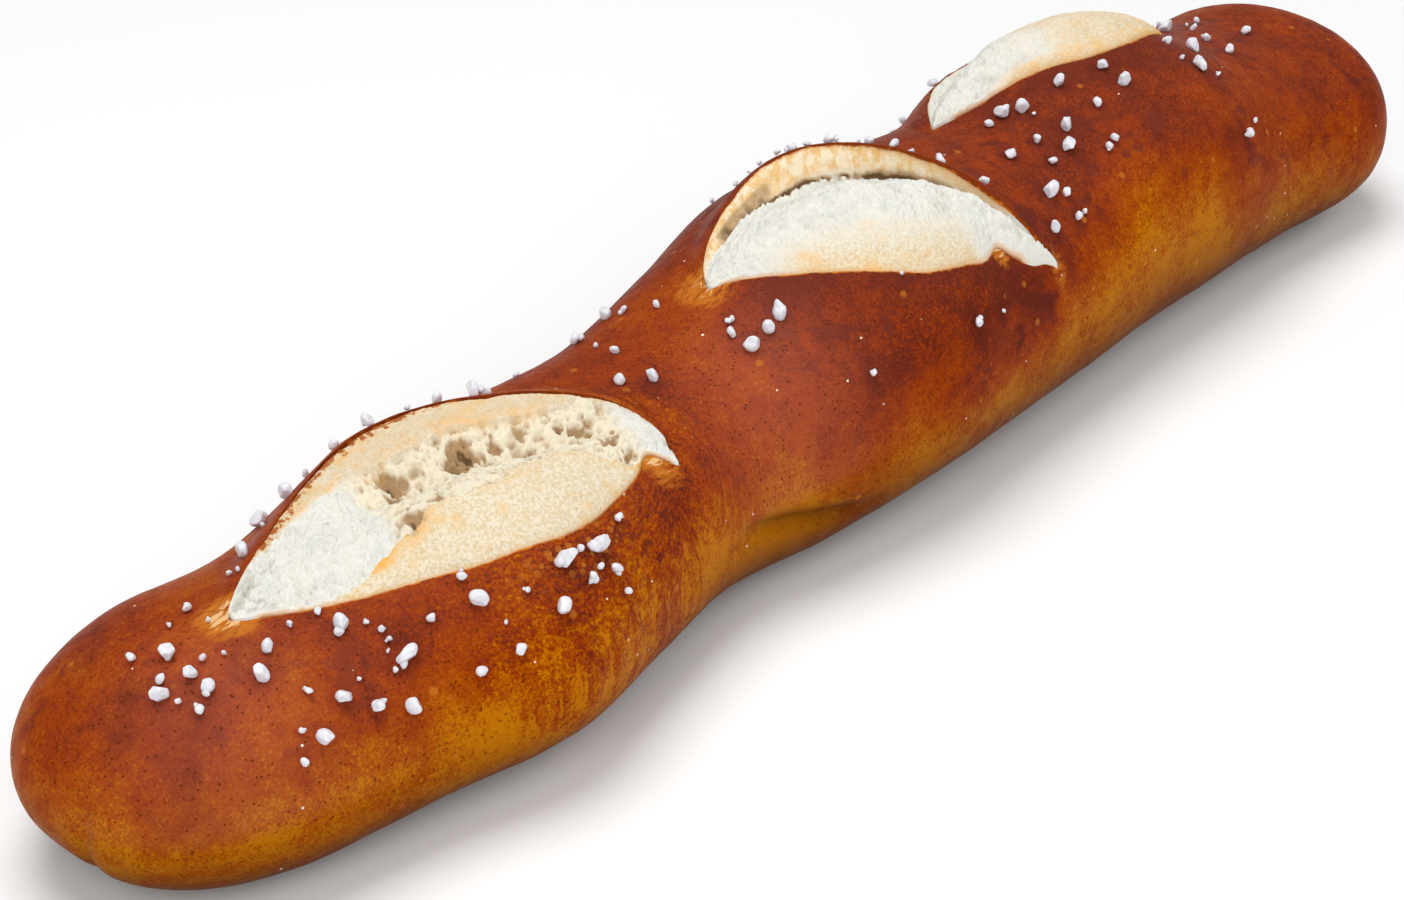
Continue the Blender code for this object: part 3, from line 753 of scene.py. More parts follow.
# ================================================================ crumb in the slashes
def crumb_relief(slash, along, share):
    """Height of the crumb over the loaf's own skin; share runs from the near lip to the far lip."""
    first, last = slash.valley_place
    place = np.minimum(first + (last - first) * along, VALLEY_LIMIT)
    climb = np.clip((share - place) / (1 - place), 0, 1)
    opening = window(along, *VALLEY_OPENS, *VALLEY_CLOSES)
    fullness = 0.8 + np.where(share > place / 2, 1 - opening, 0)
    tilt = 1 + slash.tilt * (2 * along - 1)
    bulge = np.sin(np.pi * np.clip(share / place, 0, 1)) ** fullness * tilt
    if slash.name == "near":
        closed = 1 - ramp(along, *NEAR_OPENS)
        bulge = bulge + closed * (NEAR_DOME * np.sin(np.pi * share) ** 0.7 - bulge)
        opening = opening * (1 - closed)
    valley = opening * (1 - ramp(share, place, 1)) * bell(share, place, slash.valley_width)
    near_climb = slash.lips[-1].rise * np.clip(1 - share / 0.3, 0, 1) ** 2
    far_climb = slash.lips[1].rise * climb**1.5
    body = slash.bulge * bulge - slash.valley * valley + near_climb + far_climb
    near_edge = NEAR_DROP * np.clip(1 - share / EDGE_SHARE, 0, 1)
    far_edge = slash.far_drop * np.clip(1 - (1 - share) / EDGE_SHARE, 0, 1)
    uneven = 1 + 0.35 * np.sin(along * 23 + 1) * np.sin(along * 61)
    return (tip_fade(along) * body - near_edge - far_edge * uneven) * MM


# Each of these gives four fields: torn crumb, its open band or the painted shade of its crevice, orange
# glow and tan.
def torn_near(along, share, points):
    """The near slash: white torn crumb at its start and in the band behind the smooth apron."""
    wander = 0.018 * layered(points, 4 * MM, 71, 4, 0.65)
    tatter = 0.02 * layered(points * (1.0, 1.0, 0.5), 1.1 * MM, 75, 3, 0.6)
    apron = read_table(APRON_EDGE, along) + (wander + tatter)
    band = read_table(BAND_EDGE, along) - 1.4 * wander
    torn = window(share, apron - 0.006, apron + 0.006, band - 0.008, band + 0.008)
    open_band = torn * window(along, 0.30, 0.42, 0.88, 0.96)
    glow = bell(share, apron, 0.05) * (share < apron) * ramp(along, 0.2, 0.3)
    glow = glow * (0.10 + 1.1 * bell(along, 0.33, 0.09) + 0.7 * ramp(along, 0.8, 0.9))
    behind = bell(share - band, 0.01, 0.035) * ramp(along, 0.15, 0.3)
    behind = 0.6 * behind * ramp(layered(points, 3 * MM, 78, 2), -0.2, 0.5)
    return torn, open_band, np.maximum(glow, behind), ramp(share, band - 0.02, band + 0.05)


def torn_middle(along, share, points):
    """The middle slash: a white bulge, a crevice behind it darkened by painted shade, and a baked wall
    above that.
    """
    wander = 0.03 * layered(points, 4 * MM, 81, 4, 0.6)
    crevice = read_table(CREVICE_LINE, along) + 0.2 * wander
    cream = 1 - ramp(share, CREAM_HEIGHT * 0.3, CREAM_HEIGHT * 2 + wander)
    cream = cream * window(along, 0.10, 0.26, 0.66, 0.76)
    tan = ramp(share, crevice - 0.01, crevice + 0.02) * (1 - ramp(along, 0.72, 0.90))
    width = read_table(CREVICE_WIDTH, along) * (1 + 0.5 * noise(points, 1.5 * MM, 87))
    web = window(share, crevice - 0.01, crevice + 0.01, 0.90, 0.96 + wander)
    web = web * window(along, 0.05, 0.12, 0.26, 0.36)
    shade = bell(share - crevice, 0.015, 0.018) * window(along, 0.54, 0.62, 0.82, 0.9)
    # painted shade: the crevice line, the grey web at its start and the wall's lower part
    deep = np.maximum(bell(share, crevice, width), np.maximum(0.60 * web, 0.38 * shade))
    return (1 - cream) * (1 - tan), deep, 0.3 * cream * ramp(0.1 - share, 0, 0.1), tan


def torn_far(along, share, points):
    """The far slash: white at its start, cream and orange towards its end and its near lip."""
    wander = 0.06 * layered(points, 5 * MM, 91, 4, 0.6)
    low = (1 - ramp(share, 0.04, 0.14)) * ramp(along, 0.2, 0.34)
    cream = np.maximum(ramp(along + 0.10 * (1 - share) + wander, 0.40, 0.66), low)
    glow = 0.4 * low + 0.5 * ramp(along + wander, 0.78, 0.95)
    return 1 - cream, np.zeros_like(share), glow, 0.3 * cream


TORN = {"near": torn_near, "middle": torn_middle, "far": torn_far}


def fibre_noise(slash, along, across, seed, fineness, stretch):
    """Ridges that run across the slash, as the strands of torn crumb do."""
    sway = 1.5 * MM * np.sin(across / (5 * MM) + 9 * along)
    place = np.stack([along * slash.length + sway, across / stretch, along * 0], axis=-1)
    return 1 - 2 * np.abs(layered(place * fineness, 1.0 * MM, seed, 3, 0.6))


def pore_depth(points, band, seed):
    """Holes of several sizes where the crumb is torn open."""
    depth = np.zeros(points.shape[:-1])
    bend = np.stack([noise(points, 1.3 * MM, seed + k) for k in (1, 2, 3)], axis=-1)
    points = points + 0.45 * MM * bend
    for size, most, closed, step in PORE_SIZES:
        distance, mark = cells(points * (1.0, 1.3, 0.7), size * MM, seed + step)
        bowl = np.clip(1 - distance / 0.46, 0, 1) ** 0.55
        depth = np.maximum(depth, most * MM * bowl * (mark > closed))
    return depth * band


def named_pores(slash, along, share, uneven):
    """The few holes of the near slash that stand out."""
    depth = np.zeros(share.shape)
    for place, height, long_side, short_side, deep in NAMED_PORES:
        u = (along - place) * slash.length / (long_side * MM / 2)
        v = (share - height) * slash.width * 0.8 / (short_side * MM / 2)
        reach = np.sqrt(u**2 + v**2) * (1 + 0.3 * uneven)
        depth = np.maximum(depth, deep * MM * np.clip(1.25 - reach, 0, 1) ** 0.5)
    return depth


def crumb_grid(slash):
    """The crumb's top as a grid without fine relief: shares, distance across, width, edge, points."""
    along = np.linspace(TIP_GAP, 1 - TIP_GAP, int(slash.length / CRUMB_STEP))[:, None]
    share = np.linspace(0, 1, int(slash.width / CRUMB_STEP))[None, :]
    near = slash.ragged(-1, along) - LIP_OVERLAP
    far = slash.ragged(1, along) + LIP_OVERLAP
    across = near + (far - near) * share
    along, share = np.broadcast_arrays(along, share)
    x, y = slash.point(along, across)
    z = top_height(x, y) + crumb_relief(slash, along, share)
    edge = np.minimum(across - near, far - across)
    return along, share, across, far - near, edge, np.stack([x, y, z], axis=-1)


def crumb_top(slash, seed):
    """The crumb's top surface as a grid of points, with its material's fields."""
    along, share, across, width, edge, points = crumb_grid(slash)
    torn, band, glow, tan = TORN[slash.name](along, share, points)
    near_slash, middle_slash = (slash.name == name for name in ("near", "middle"))
    webs, fibres, tufts = (
        fibre_noise(slash, along, across, seed + step, fineness, stretch)
        for step, fineness, stretch in STRANDS
    )
    lumps = layered(points, 5 * MM, seed + 30, 3, 0.55)
    grain = layered(points, 1.2 * MM, seed + 20, 4, 0.7)
    pores = pore_depth(points, band, seed + 40)
    few = pore_depth(points, ramp(lumps, 0.2, 0.5) * (1 - band), seed + 60)
    pores = np.maximum(pores, 0.35 * few)
    if near_slash:
        pores = np.maximum(pores, named_pores(slash, along, share, grain))
    inner = ramp(edge, 0.0, EDGE_WIDTH)
    white = torn * (1 - band)
    rough = band * 0.24 * webs + 0.32 * lumps + 0.10 * grain + white * (0.27 * fibres + 0.20 * tufts)
    smooth = 0.075 * grain + 0.2 * layered(points, 9 * MM, seed + 25, 2)
    sunken = 0.25 * torn * ramp(along, 0.2, 0.3) + 0.3 * band
    detail = (torn * rough + (1 - torn) * smooth - sunken) * MM
    points[..., 2] += inner * (detail - pores)

    # Painted shade: the crumb darkens in the dips of its fibres, lumps, tufts and webs, at the near
    # slash's tip and in its pores.
    soft = np.clip(-fibres * 0.2, 0, 1) + np.clip(-lumps * 0.4, 0, 0.4) + np.clip(-tufts * 0.15, 0, 1)
    grey = near_slash * (1 - ramp(along, 0.06, 0.16)) * ramp(grain, -0.4, 0.6)
    dips = band * np.clip(-webs * 0.5, 0, 1) + white * np.maximum(soft, TIP_GREY * grey)
    # painted shade: pores darken with their depth, and the middle slash's crevice with its band
    holes = np.minimum(1.2 * pores / MM, PORE_DARKEST) + 2.2 * band * middle_slash
    narrow = 1 - ramp(width, 2.5 * MM, 7 * MM)
    rag = RAGGED_RIM[slash.name] * (share > 0.5) * (1 - narrow)
    fields = {
        "torn": torn,
        # painted shade in dips, pores and the crevice
        "hollow_shade": (dips * torn + holes) * inner,
        "band": band,
        "glow": glow,
        "tan": tan,
        "edge": edge / MM + 1.2 * narrow,
        "rag": rag * ramp(along, 0.06, 0.2) * (1 - 0.85 * ramp(along, 0.45, 0.8)),
        "wall": tan * middle_slash,
    }
    return points, {name: values.ravel() for name, values in fields.items()}


def make_crumb(slash, seed):
    """A closed lump: the torn top, upright sides and a flat foot on the slash's floor."""
    points, fields = crumb_top(slash, seed)
    rows, columns = points.shape[:2]
    faces = grid_faces(rows, columns, False)
    grid = np.arange(rows * columns).reshape(rows, columns)
    rim = np.concatenate([grid[0], grid[1:-1, -1], grid[-1, ::-1], grid[-2:0:-1, 0]])
    top = points.reshape(-1, 3)
    foot = top[rim]
    foot[:, 2] = slash.floor() + FOOT_GAP
    base = len(top)
    number = len(rim)
    for i in range(number):
        j = (i + 1) % number
        faces.append((int(rim[i]), int(rim[j]), base + j, base + i))
    faces.append(tuple(range(base + number - 1, base - 1, -1)))
    everything = np.concatenate([top, foot])
    crumb = mesh_object("crumb_" + slash.name, everything, faces)
    face_outwards(crumb)
    fields = {name: np.concatenate([values, values[rim]]) for name, values in fields.items()}
    add_fields(crumb.data, fields)
    add_map(crumb.data, *((everything[:, k] - top[:, k].min()) * 12 for k in (0, 1)))
    crumb.data.shade_smooth()
    return crumb


# ================================================================ salt
def inside_a_slash(x, y, margin):
    for slash in SLASHES:
        along, across = slash.place(x, y)
        low, high = (slash.reach(side, along) + side * margin for side in (-1, 1))
        if slash.past_tip(along) < margin and low < across < high:
            return True
    return False


def on_the_loaf(x, y):
    """Whether a place in plan is on the crust's upper side, clear of the steep lower flanks."""
    near, far, _, _, closing, middle = section(x)
    half = closing * (far if y > middle else near)
    return abs(y - middle) < 0.96 * half - 0.5 * MM


def salt_spot(draw):
    """A place in plan in one of the patches, or in a row behind a far lip."""
    areas = SALT_PATCHES + SALT_ROWS
    area = draw.choices(areas, [row[-1] for row in areas])[0]
    if area in SALT_ROWS:
        number, low, high, _ = area
        along = draw.uniform(low, high)
        behind = draw.uniform(*SALT_ROW_WIDTH)
        return SLASHES[number].point(along, SLASHES[number].reach(1, along) + behind)
    x, y, spread_x, spread_y, _ = area
    x += spread_x * draw.uniform(-1.5, 1.5)
    y += spread_y * draw.uniform(-1.5, 1.5)
    return x * MM, y * MM


def place_grain(grains, size, draw):
    """Tries places for a grain until one is free, and adds it as (x, y, diameter)."""
    for _ in range(SALT_TRIES):
        x, y = salt_spot(draw)
        free = all(math.hypot(x - gx, y - gy) > (size + gd) / 2 + SALT_GAP for gx, gy, gd in grains)
        if free and on_the_loaf(x, y) and not inside_a_slash(x, y, size * 0.5):
            grains.append((x, y, size))
            return


def salt_places():
    """Grains in the patches, clear of one another: the solid part's own, then smaller ones."""
    draw = random.Random(SALT_SEED)
    grains = []
    for i in range(SALT_COUNT):
        size = SALT_SMALLEST + (SALT_LARGEST - SALT_SMALLEST) * (1 - i / SALT_COUNT) ** 1.5
        place_grain(grains, size, draw)
    for _ in range(SALT_CRUMBS):
        place_grain(grains, draw.uniform(*SALT_CRUMB_SIZE), draw)
    return grains


def crust_height(x, y):
    return float(top_height(x, y) + lip_rise(x, y))


def crust_normal(x, y):
    """Upward unit normal of the crust at a place in plan."""
    step = 0.5 * MM
    slope_x = (crust_height(x + step, y) - crust_height(x - step, y)) / (2 * step)
    slope_y = (crust_height(x, y + step) - crust_height(x, y - step)) / (2 * step)
    return Vector((-slope_x, -slope_y, 1)).normalized()


def crystal_radius(directions, rough):
    """Distance from a crystal's middle to its surface: worn flat faces at random angles."""
    normals = rough.normal(size=(rough.integers(*CRYSTAL_FACES), 3))
    normals /= np.linalg.norm(normals, axis=1)[:, None]
    heights = rough.uniform(*CRYSTAL_FACE_HEIGHTS, len(normals))
    facing = np.maximum(directions @ normals.T, 0.02)
    ball = (1 / CRYSTAL_BALL) ** CRYSTAL_WEAR
    return (((facing / heights) ** CRYSTAL_WEAR).sum(axis=1) + ball) ** (-1 / CRYSTAL_WEAR)


def grain_ball(level):
    """A round mesh of unit size, to be shaped into crystals."""
    shape = bmesh.new()
    bmesh.ops.create_icosphere(shape, subdivisions=level, radius=1.0)
    points = np.array([v.co for v in shape.verts])
    faces = np.array([[v.index for v in f.verts] for f in shape.faces])
    shape.free()
    return points, faces


def crystal(ball, size, draw, rough):
    """Points of one crystal about its own middle."""
    stretch = np.array([draw.uniform(*span) for span in CRYSTAL_STRETCH])
    turn = np.array(Euler([draw.uniform(0, math.tau) for _ in range(3)]).to_matrix())
    radius = crystal_radius(ball, rough) * (1 + 0.06 * noise(ball, 0.45, int(rough.integers(1000))))
    return (ball * radius[:, None] * size / 2 * stretch) @ turn.T


def make_salt():
    """All grains in one mesh; some have a smaller crystal grown on to their side."""
    draw = random.Random(SALT_SEED + 1)
    rough = np.random.default_rng(SALT_SEED)
    balls = {level: grain_ball(level) for level in (3, 4)}
    points = []
    faces = []
    count = 0
    for x, y, size in salt_places():
        normal = crust_normal(x, y)
        upright = np.array(normal.to_track_quat("Z", "Y").to_matrix())
        middle = np.array((x, y, crust_height(x, y))) + np.array(normal) * size / 2 * (0.8 - SALT_SINK)
        crystals = [(size, 0.0)]
        if draw.random() < SALT_TWINS:
            crystals.append((size * draw.uniform(*TWIN_SIZE), size * TWIN_ASIDE))
        for crystal_size, aside in crystals:
            ball, ball_faces = balls[4 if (crystal_size > FINE_CRYSTAL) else 3]
            bearing = draw.uniform(0, math.tau)
            beside = np.array((math.cos(bearing), math.sin(bearing), -0.1)) * aside
            shape = crystal(ball, crystal_size, draw, rough) + beside
            points.append(middle + shape @ upright.T)
            faces.append(ball_faces + count)
            count += len(ball)
    salt = mesh_object("salt", np.concatenate(points), np.concatenate(faces).tolist())
    salt.data.shade_smooth()
    return salt


# ================================================================ materials
class Value:
    """A node's output, which a material reckons with as with a number."""

    def __init__(self, nodes, socket):
        self.nodes = nodes
        self.socket = socket

    def __add__(self, other):
        return self.nodes.maths("ADD", self, other)

    def __sub__(self, other):
        return self.nodes.maths("SUBTRACT", self, other)

    def __mul__(self, other):
        return self.nodes.maths("MULTIPLY", self, other)

    def __truediv__(self, other):
        return self.nodes.maths("DIVIDE", self, other)

    def span(self, low, high, first=0.0, second=1.0):
        """Changes smoothly from first at low to second at high."""
        inputs = {"Value": self, "From Min": low, "From Max": high, "To Min": first, "To Max": second}
        return self.nodes.node("MapRange", "Result", inputs, interpolation_type="SMOOTHSTEP")


class Nodes:
    """A material, and short names for the few kinds of node that it is built from."""

    def __init__(self, name):
        self.material = bpy.data.materials.new(name)
        self.material.use_nodes = True
        self.tree = self.material.node_tree
        self.shader = self.tree.nodes["Principled BSDF"]
        self.place = self.node("TexCoord", "Object")

    def put(self, value, socket):
        if isinstance(value, Value):
            self.tree.links.new(value.socket, socket)
        else:
            socket.default_value = value

    def node(self, kind, result, inputs=None, **settings):
        """A node with its settings and inputs; gives one of its outputs."""
        node = settle(self.tree.nodes.new("ShaderNode" + kind), **settings)
        for name, value in (inputs or {}).items():
            self.put(value, node.inputs[name])
        return Value(self, node.outputs[result])

    def field(self, name):
        return self.node("Attribute", "Fac", attribute_name=name)

    def noise(self, size, detail=3.0, rough=0.55, stretch=None, warp=0.0, place=None):
        place = place or self.place
        if stretch is not None:
            place = self.node("Mapping", "Vector", {"Vector": place, "Scale": stretch})
        inputs = {"Vector": place, "Scale": 1 / size, "Detail": detail, "Roughness": rough}
        return self.node("TexNoise", "Fac", {**inputs, "Distortion": warp})

    def cells(self, size):
        return self.node("TexVoronoi", "Distance", {"Vector": self.place, "Scale": 1 / size})

    def maths(self, operation, a, b):
        return self.node("Math", 0, {0: a, 1: b}, operation=operation)

    def wrinkles(self, fineness, length, low, high):
        """Stretch lines that run beside the near slash: how fine they are, per mm, and how long."""
        inputs = {"X": self.field("flow"), "Y": self.field("round") / length}
        place = self.node("CombineXYZ", "Vector", inputs)
        return self.noise(1 / fineness, 3.0, 0.6, warp=0.5, place=place).span(low, high)

    def tones(self, value, stops):
        """A colour from a scale of tones."""
        colour = self.node("ValToRGB", "Color", {"Fac": value})
        scale = colour.socket.node.color_ramp
        while len(scale.elements) < len(stops):
            scale.elements.new(1.0)
        for element, (place, tone) in zip(scale.elements, stops):
            settle(element, position=place, color=srgb(*tone))
        return colour

    def mix(self, share, first, second):
        inputs = {"Factor": share, "A": first, "B": second}
        return self.node("Mix", "Result", inputs, data_type="RGBA")

    def coats(self, colour, *coats):
        """Lays colours over a first one, each of them by its share."""
        for share, coat in coats:
            colour = self.mix(share, colour, coat)
        return colour

    def relief(self, *layers):
        """Bumps over one another; each layer has a height, a depth in mm and a strength."""
        inputs = {}
        for height, depth, strength in layers:
            inputs = {**inputs, "Height": height, "Distance": depth * MM, "Strength": strength}
            inputs["Normal"] = self.node("Bump", "Normal", inputs)
        return inputs["Normal"]

    def finish(self, **sockets):
        for name, value in sockets.items():
            self.put(value, self.shader.inputs[name.replace("_", " ")])
        return self.material


def srgb(red, green, blue):
    """A colour on screen as the linear colour that a shader takes."""
    parts = [c / 255 for c in (red, green, blue)]
    return tuple(c / 12.92 if c < 0.04045 else ((c + 0.055) / 1.055) ** 2.4 for c in parts) + (1.0,)


CRUST_TONES = (
    (0.00, (190, 114, 0)), (0.10, (176, 97, 0)), (0.22, (166, 80, 0)), (0.40, (156, 66, 0)),
    (0.60, (142, 51, 4)), (0.80, (124, 44, 14)), (1.00, (96, 33, 18)),
)
SCORCHED = srgb(104, 40, 26)
# pinkish tint of the painted sheen
PAINTED_SHEEN_PINK = srgb(182, 100, 82)
PURPLE = srgb(86, 34, 32)
# brown of the painted shade low on the flank and in the crease, and of the crust's fine pores
SHADE_AND_PORE_BROWN = srgb(78, 34, 0)
BLISTER = srgb(206, 124, 44)
SPECK = srgb(244, 226, 208)
RIM = srgb(140, 60, 20)
BROWN_RIM = srgb(164, 84, 22)
RIM_EDGE = srgb(206, 116, 36)
TOAST = srgb(214, 124, 40)
TEAR = srgb(196, 116, 36)
PALE_TEAR = srgb(234, 190, 136)
CREAM = srgb(222, 203, 164)
CREAM_LIGHT = srgb(236, 225, 203)
TAN = srgb(216, 192, 156)
# cream of the far wall, made lighter as painted light against the shade it stands in
PAINTED_LIGHT_WALL_CREAM = srgb(255, 238, 208)
ORANGE = srgb(226, 166, 88)
GOLD = srgb(236, 190, 116)
AMBER = srgb(240, 182, 94)
CRUMB = srgb(233, 231, 222)
CRUMB_COOL = srgb(219, 220, 218)
CRUMB_SHADE = srgb(196, 191, 178)
BAND = srgb(236, 226, 202)
# colour of the painted shade in pores and pits
PORE_SHADE = srgb(174, 142, 104)
# colour of the painted shade deep in the crevice
CREVICE_SHADE = srgb(104, 80, 52)
SALT = srgb(231, 231, 236)
SALT_SHADE = srgb(216, 216, 224)


def crust_depth(n, mottle, grain, wrinkles):
    """How dark the crust is, on the scale of CRUST_TONES."""
    baked = n.field("baked")
    lobe = n.field("lobe")
    depth = baked * 0.52 + n.noise(13 * MM).span(0.3, 0.7, -0.08, 0.26)
    depth += mottle.span(0.32, 0.68, -0.10, 0.10)
    depth += grain.span(0.38, 0.62, -0.20, 0.17) * lobe.span(0.0, 0.8, 0.7, 1.2)
    depth = depth - n.field("golden") * 0.08 + wrinkles * 0.34
    depth += n.wrinkles(2.2, 2.6, 0.40, 0.60).span(0.0, 1.0, -0.16, 0.17) * lobe
    depth = depth + n.field("near_lip") * 0.13 + n.field("halo") * 0.25
    depth += n.noise(7 * MM, 3.0, 0.5, warp=0.8).span(0.60, 0.68, 0.0, 0.18) * baked
    flecks = n.noise(0.5 * MM, 3.0, 0.7).span(0.55, 0.63, 0.0, 0.32)
    return depth - flecks * n.noise(9 * MM).span(0.4, 0.6, 0.3, 1.0)


def crust_material():
    n = Nodes("lye_crust")
    lip = n.field("lip")
    below = n.field("below")
    mottle = n.noise(2.4 * MM, 4.0, 0.65)
    grain = n.noise(0.45 * MM, 3.0, 0.75)
    uneven = n.noise(1.5 * MM, 3.0, 0.6)
    streaks = n.noise(0.8 * MM, 4.0, 0.65, (0.25, 1.0, 1.0), 0.6)
    wrinkles = n.wrinkles(0.75, 4.5, 0.35, 0.65) * n.field("stretched")
    scorched = n.noise(5 * MM, 2.0, 0.4, warp=0.5).span(0.63, 0.72, 0.0, 0.6)
    blisters = n.cells(1.7 * MM).span(0.42, 0.30) * n.field("blistered")
    torn = n.field("tip") * streaks.span(0.32, 0.68, 0.35, 1.65)
    toasted = (lip - uneven.span(0.3, 0.7, -0.15, 0.12)).span(0.22, 0.0)
    wall = lip.span(0.06, 0.01) * below.span(0.10, 0.2)
    under = below + uneven.span(0.3, 0.7, -0.5, 0.5)
    colour = n.coats(
        n.tones(crust_depth(n, mottle, grain, wrinkles), CRUST_TONES),
        (scorched * n.field("baked"), SCORCHED),
        # painted sheen: pinkish on the crown and in round patches
        (n.field("painted_sheen") * 0.28, PAINTED_SHEEN_PINK),
        (n.field("scorched") * mottle.span(0.3, 0.7, 0.4, 1.0), PURPLE),
        # painted shade towards the floor
        (n.field("foot") * 0.92, SHADE_AND_PORE_BROWN),
        (n.cells(0.9 * MM).span(0.26, 0.14) * mottle.span(0.40, 0.55, 0.2, 0.75), SHADE_AND_PORE_BROWN),
        # painted shade in the crease low on the near flank
        (n.field("crease") * 0.65, SHADE_AND_PORE_BROWN),
        (n.cells(7 * MM).span(0.11, 0.05, 0.0, 0.45), BLISTER),
        (blisters * 0.7, BLISTER),
        (n.cells(5 * MM).span(0.045, 0.03), SPECK),
        (torn.span(0.10, 0.55, 0.0, 0.85), TEAR),
        (torn.span(0.66, 0.92, 0.0, 0.85), PALE_TEAR),
        (toasted * n.field("near_side"), TOAST),
        (wall, RIM),
        (wall * under.span(0.6, 1.3), RIM_EDGE),
    )
    normal = n.relief(
        (wrinkles, 0.30, 1.0), (blisters, 0.35, 1.0), (streaks * n.field("tip"), 0.5, 0.8),
        (n.noise(1.1 * MM, 4.0, 0.65), 0.12, 0.7), (grain, 0.05, 0.7),
    )
    rough = mottle.span(0.3, 0.7, 0.36, 0.48)
    return n.finish(Base_Color=colour, Roughness=rough, Normal=normal, Specular_IOR_Level=0.02)


def skin_colour(n, baking):
    """The baked skin of the crumb: cream with orange specks, tan behind, golden on the wall, and the
    wall's cream lightened by painted light.
    """
    tan = n.field("tan")
    wall = n.field("wall")
    speck = n.noise(0.5 * MM, 4.0, 0.7)
    blot = n.noise(1.8 * MM, 4.0, 0.7)
    streaks = n.noise(1.6 * MM, 4.0, 0.7, (1.0, 1.0, 0.4))
    return n.coats(
        CREAM,
        (speck.span(0.42, 0.58), CREAM_LIGHT),
        (speck.span(0.40, 0.30, 0.0, 0.5), ORANGE),
        (tan * 0.6, TAN),
        (tan * blot.span(0.52, 0.70, 0.0, 0.45), CREAM_LIGHT),
        (tan * blot.span(0.48, 0.34, 0.0, 0.40), ORANGE),
        # painted light: the far wall's cream is lightened against its shade
        (wall * 0.85, PAINTED_LIGHT_WALL_CREAM),
        (wall * streaks.span(0.44, 0.60, 0.0, 0.8), GOLD),
        (baking.span(0.50, 0.70, 0.0, 0.6), GOLD),
    )


def torn_colour(n, hollow_shade):
    """The torn crumb: white with painted shade in its dips, and warmer in the open band, where painted
    shade darkens the pores.
    """
    shade = n.noise(5 * MM, 3.0, 0.6)
    white = n.coats(
        CRUMB,
        (shade.span(0.45, 0.65, 0.0, 0.4), CRUMB_COOL),
        # painted shade of small pits
        (n.noise(0.9 * MM, 3.0, 0.6).span(0.62, 0.70, 0.0, 0.45) * shade.span(0.5, 0.6), PORE_SHADE),
        (hollow_shade.span(0.05, 0.9, 0.0, 0.8), CRUMB_SHADE),
    )
    # the open band's pores darken with depth: painted shade
    opened = n.mix(hollow_shade.span(0.1, 1.0), BAND, PORE_SHADE)
    return n.mix(n.field("band").span(0.1, 0.7), white, opened)


def crumb_material():
    n = Nodes("crumb")
    hollow_shade = n.field("hollow_shade")
    baking = n.noise(4 * MM, 4.0, 0.65)
    rim = n.field("edge") - n.field("rag") * n.noise(1.3 * MM, 4.0, 0.7).span(0.35, 0.65, 0.1, 1.3)
    colour = n.coats(
        skin_colour(n, baking),
        (n.field("torn"), torn_colour(n, hollow_shade)),
        # painted shade in the deeper pores and hollows
        (hollow_shade.span(0.6, 1.4, 0.0, 0.8), PORE_SHADE),
        # painted shade deep in the crevice and the deepest pores
        (hollow_shade.span(1.3, 1.9), CREVICE_SHADE),
        (n.field("glow") * baking.span(0.35, 0.55, 0.3, 1.0), AMBER),
        (rim.span(0.7, 0.1, 0.0, 0.6), ORANGE),
        (rim.span(0.25, 0.02, 0.0, 0.9), BROWN_RIM),
    )
    normal = n.relief(
        (n.noise(1.4 * MM, 4.0, 0.7), 0.30, 0.8), (n.noise(0.5 * MM, 4.0, 0.75), 0.20, 0.9)
    )
    return n.finish(
        Base_Color=colour, Roughness=0.85, Normal=normal, Subsurface_Weight=0.2, Specular_IOR_Level=0.2,
        Subsurface_Radius=(1.0, 0.7, 0.45), Subsurface_Scale=0.8 * MM,
    )


def salt_material():
    n = Nodes("salt")
    colour = n.mix(n.noise(0.6 * MM, 3.0, 0.6).span(0.35, 0.7), SALT, SALT_SHADE)
    normal = n.relief((n.noise(0.35 * MM, 3.0, 0.6), 0.06, 0.5))
    return n.finish(
        Base_Color=colour, Roughness=0.4, Normal=normal, Subsurface_Weight=0.35,
        Subsurface_Radius=(1.0, 1.0, 1.0), Subsurface_Scale=0.8 * MM,
    )


# ================================================================ the loaf
def dress(piece, material):
    """Gives a piece its material and its place, and lets it stand for the solid loaf."""
    piece.data.transform(Matrix.Translation((0, SIDE_SHIFT, 0)))
    piece.data.materials.clear()
    piece.data.materials.append(material)
    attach(piece, "root")
    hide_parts("loaf")


def make_loaf():
    dress(make_crust(), crust_material())
    crumb = crumb_material()
    for number, slash in enumerate(SLASHES):
        dress(make_crumb(slash, 100 * number + 50), crumb)
    dress(make_salt(), salt_material())


# ================================================================ floor, light and camera
CAMERA_AZIMUTH = math.radians(48.83)      # how far the view turns from +Y towards +X
CAMERA_ELEVATION = math.radians(31.80)
CAMERA_DISTANCE = 400.9 * MM
CAMERA_AIM = (-32.4 * MM, -4.5 * MM + SIDE_SHIFT, 18.6 * MM)
CAMERA_LENS = 70.0
FLOOR_HALF = 4.0                          # half the floor's width, in metres
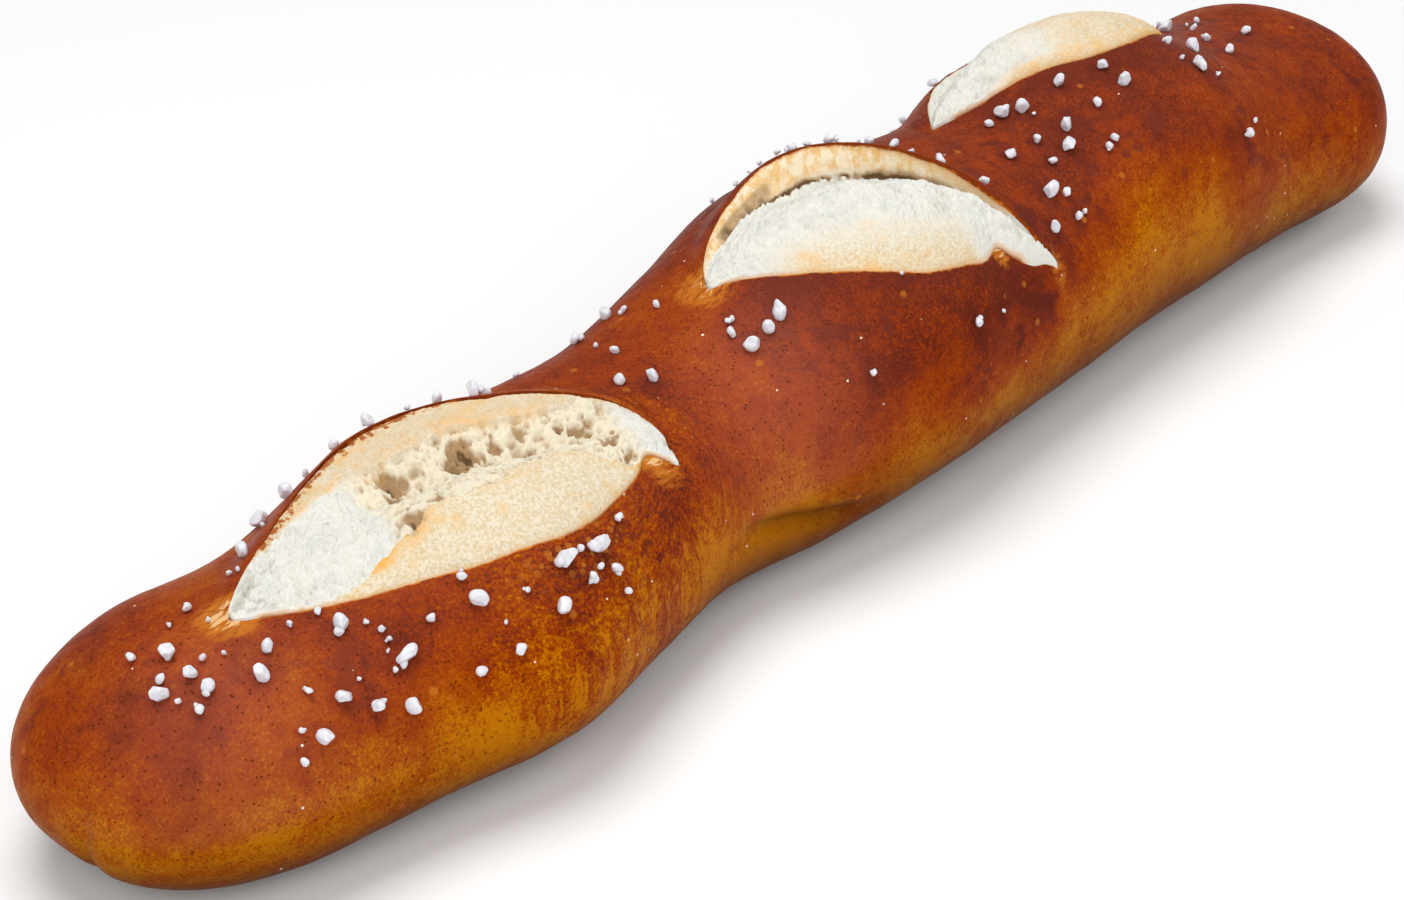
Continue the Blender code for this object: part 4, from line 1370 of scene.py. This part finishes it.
# Lights: name, place to the camera's right, away from it and up, diameter (metres) and power.
LIGHTS = (
    ("key", -0.13, 0.06, 0.95, 0.62, 5.6),
    ("fill", -0.1, -0.85, 0.6, 0.9, 4.6),
    ("side", 0.85, 0.05, 0.6, 0.8, 2.2),
)
WORLD_STRENGTH = 0.28


def view_axes():
    """The camera's right, level forward and line of sight."""
    right = Vector((math.cos(CAMERA_AZIMUTH), -math.sin(CAMERA_AZIMUTH), 0))
    level = Vector((math.sin(CAMERA_AZIMUTH), math.cos(CAMERA_AZIMUTH), 0))
    sight = level * math.cos(CAMERA_ELEVATION) - Vector((0, 0, 1)) * math.sin(CAMERA_ELEVATION)
    return right, level, sight


def aimed(thing, place, sight):
    """Puts a camera or a light in its place and turns it along the line of sight."""
    turn = sight.to_track_quat("-Z", "Y")
    return settle(thing, location=place, rotation_mode="QUATERNION", rotation_quaternion=turn)


def make_camera():
    data = settle(bpy.data.cameras.new("camera"), lens=CAMERA_LENS, clip_start=0.01)
    settle(data, sensor_width=36.0, sensor_fit="HORIZONTAL")
    sight = view_axes()[2]
    place = Vector(CAMERA_AIM) - sight * CAMERA_DISTANCE
    bpy.context.scene.camera = aimed(add_object("camera", data), place, sight)


def make_stage():
    corners = [(x * FLOOR_HALF, y * FLOOR_HALF, 0) for x, y in ((-1, -1), (1, -1), (1, 1), (-1, 1))]
    floor = mesh_object("floor", np.array(corners), [(0, 1, 2, 3)])
    n = Nodes("pale_floor")
    floor.data.materials.append(n.finish(Base_Color=(0.94, 0.94, 0.94, 1.0), Roughness=0.9))
    right, level, _ = view_axes()
    for name, aside, away, up, size, power in LIGHTS:
        data = settle(bpy.data.lights.new(name, "AREA"), shape="DISK", size=size, energy=power)
        place = right * aside + level * away + Vector((0, 0, up))
        aimed(add_object(name, data), place, -place)
    world = bpy.data.worlds.new("studio")
    world.use_nodes = True
    background = world.node_tree.nodes["Background"].inputs
    background["Color"].default_value = (1, 1, 1, 1)
    background["Strength"].default_value = WORLD_STRENGTH
    bpy.context.scene.world = world
    bpy.context.scene.view_settings.view_transform = "Standard"


make_loaf()
make_stage()
make_camera()
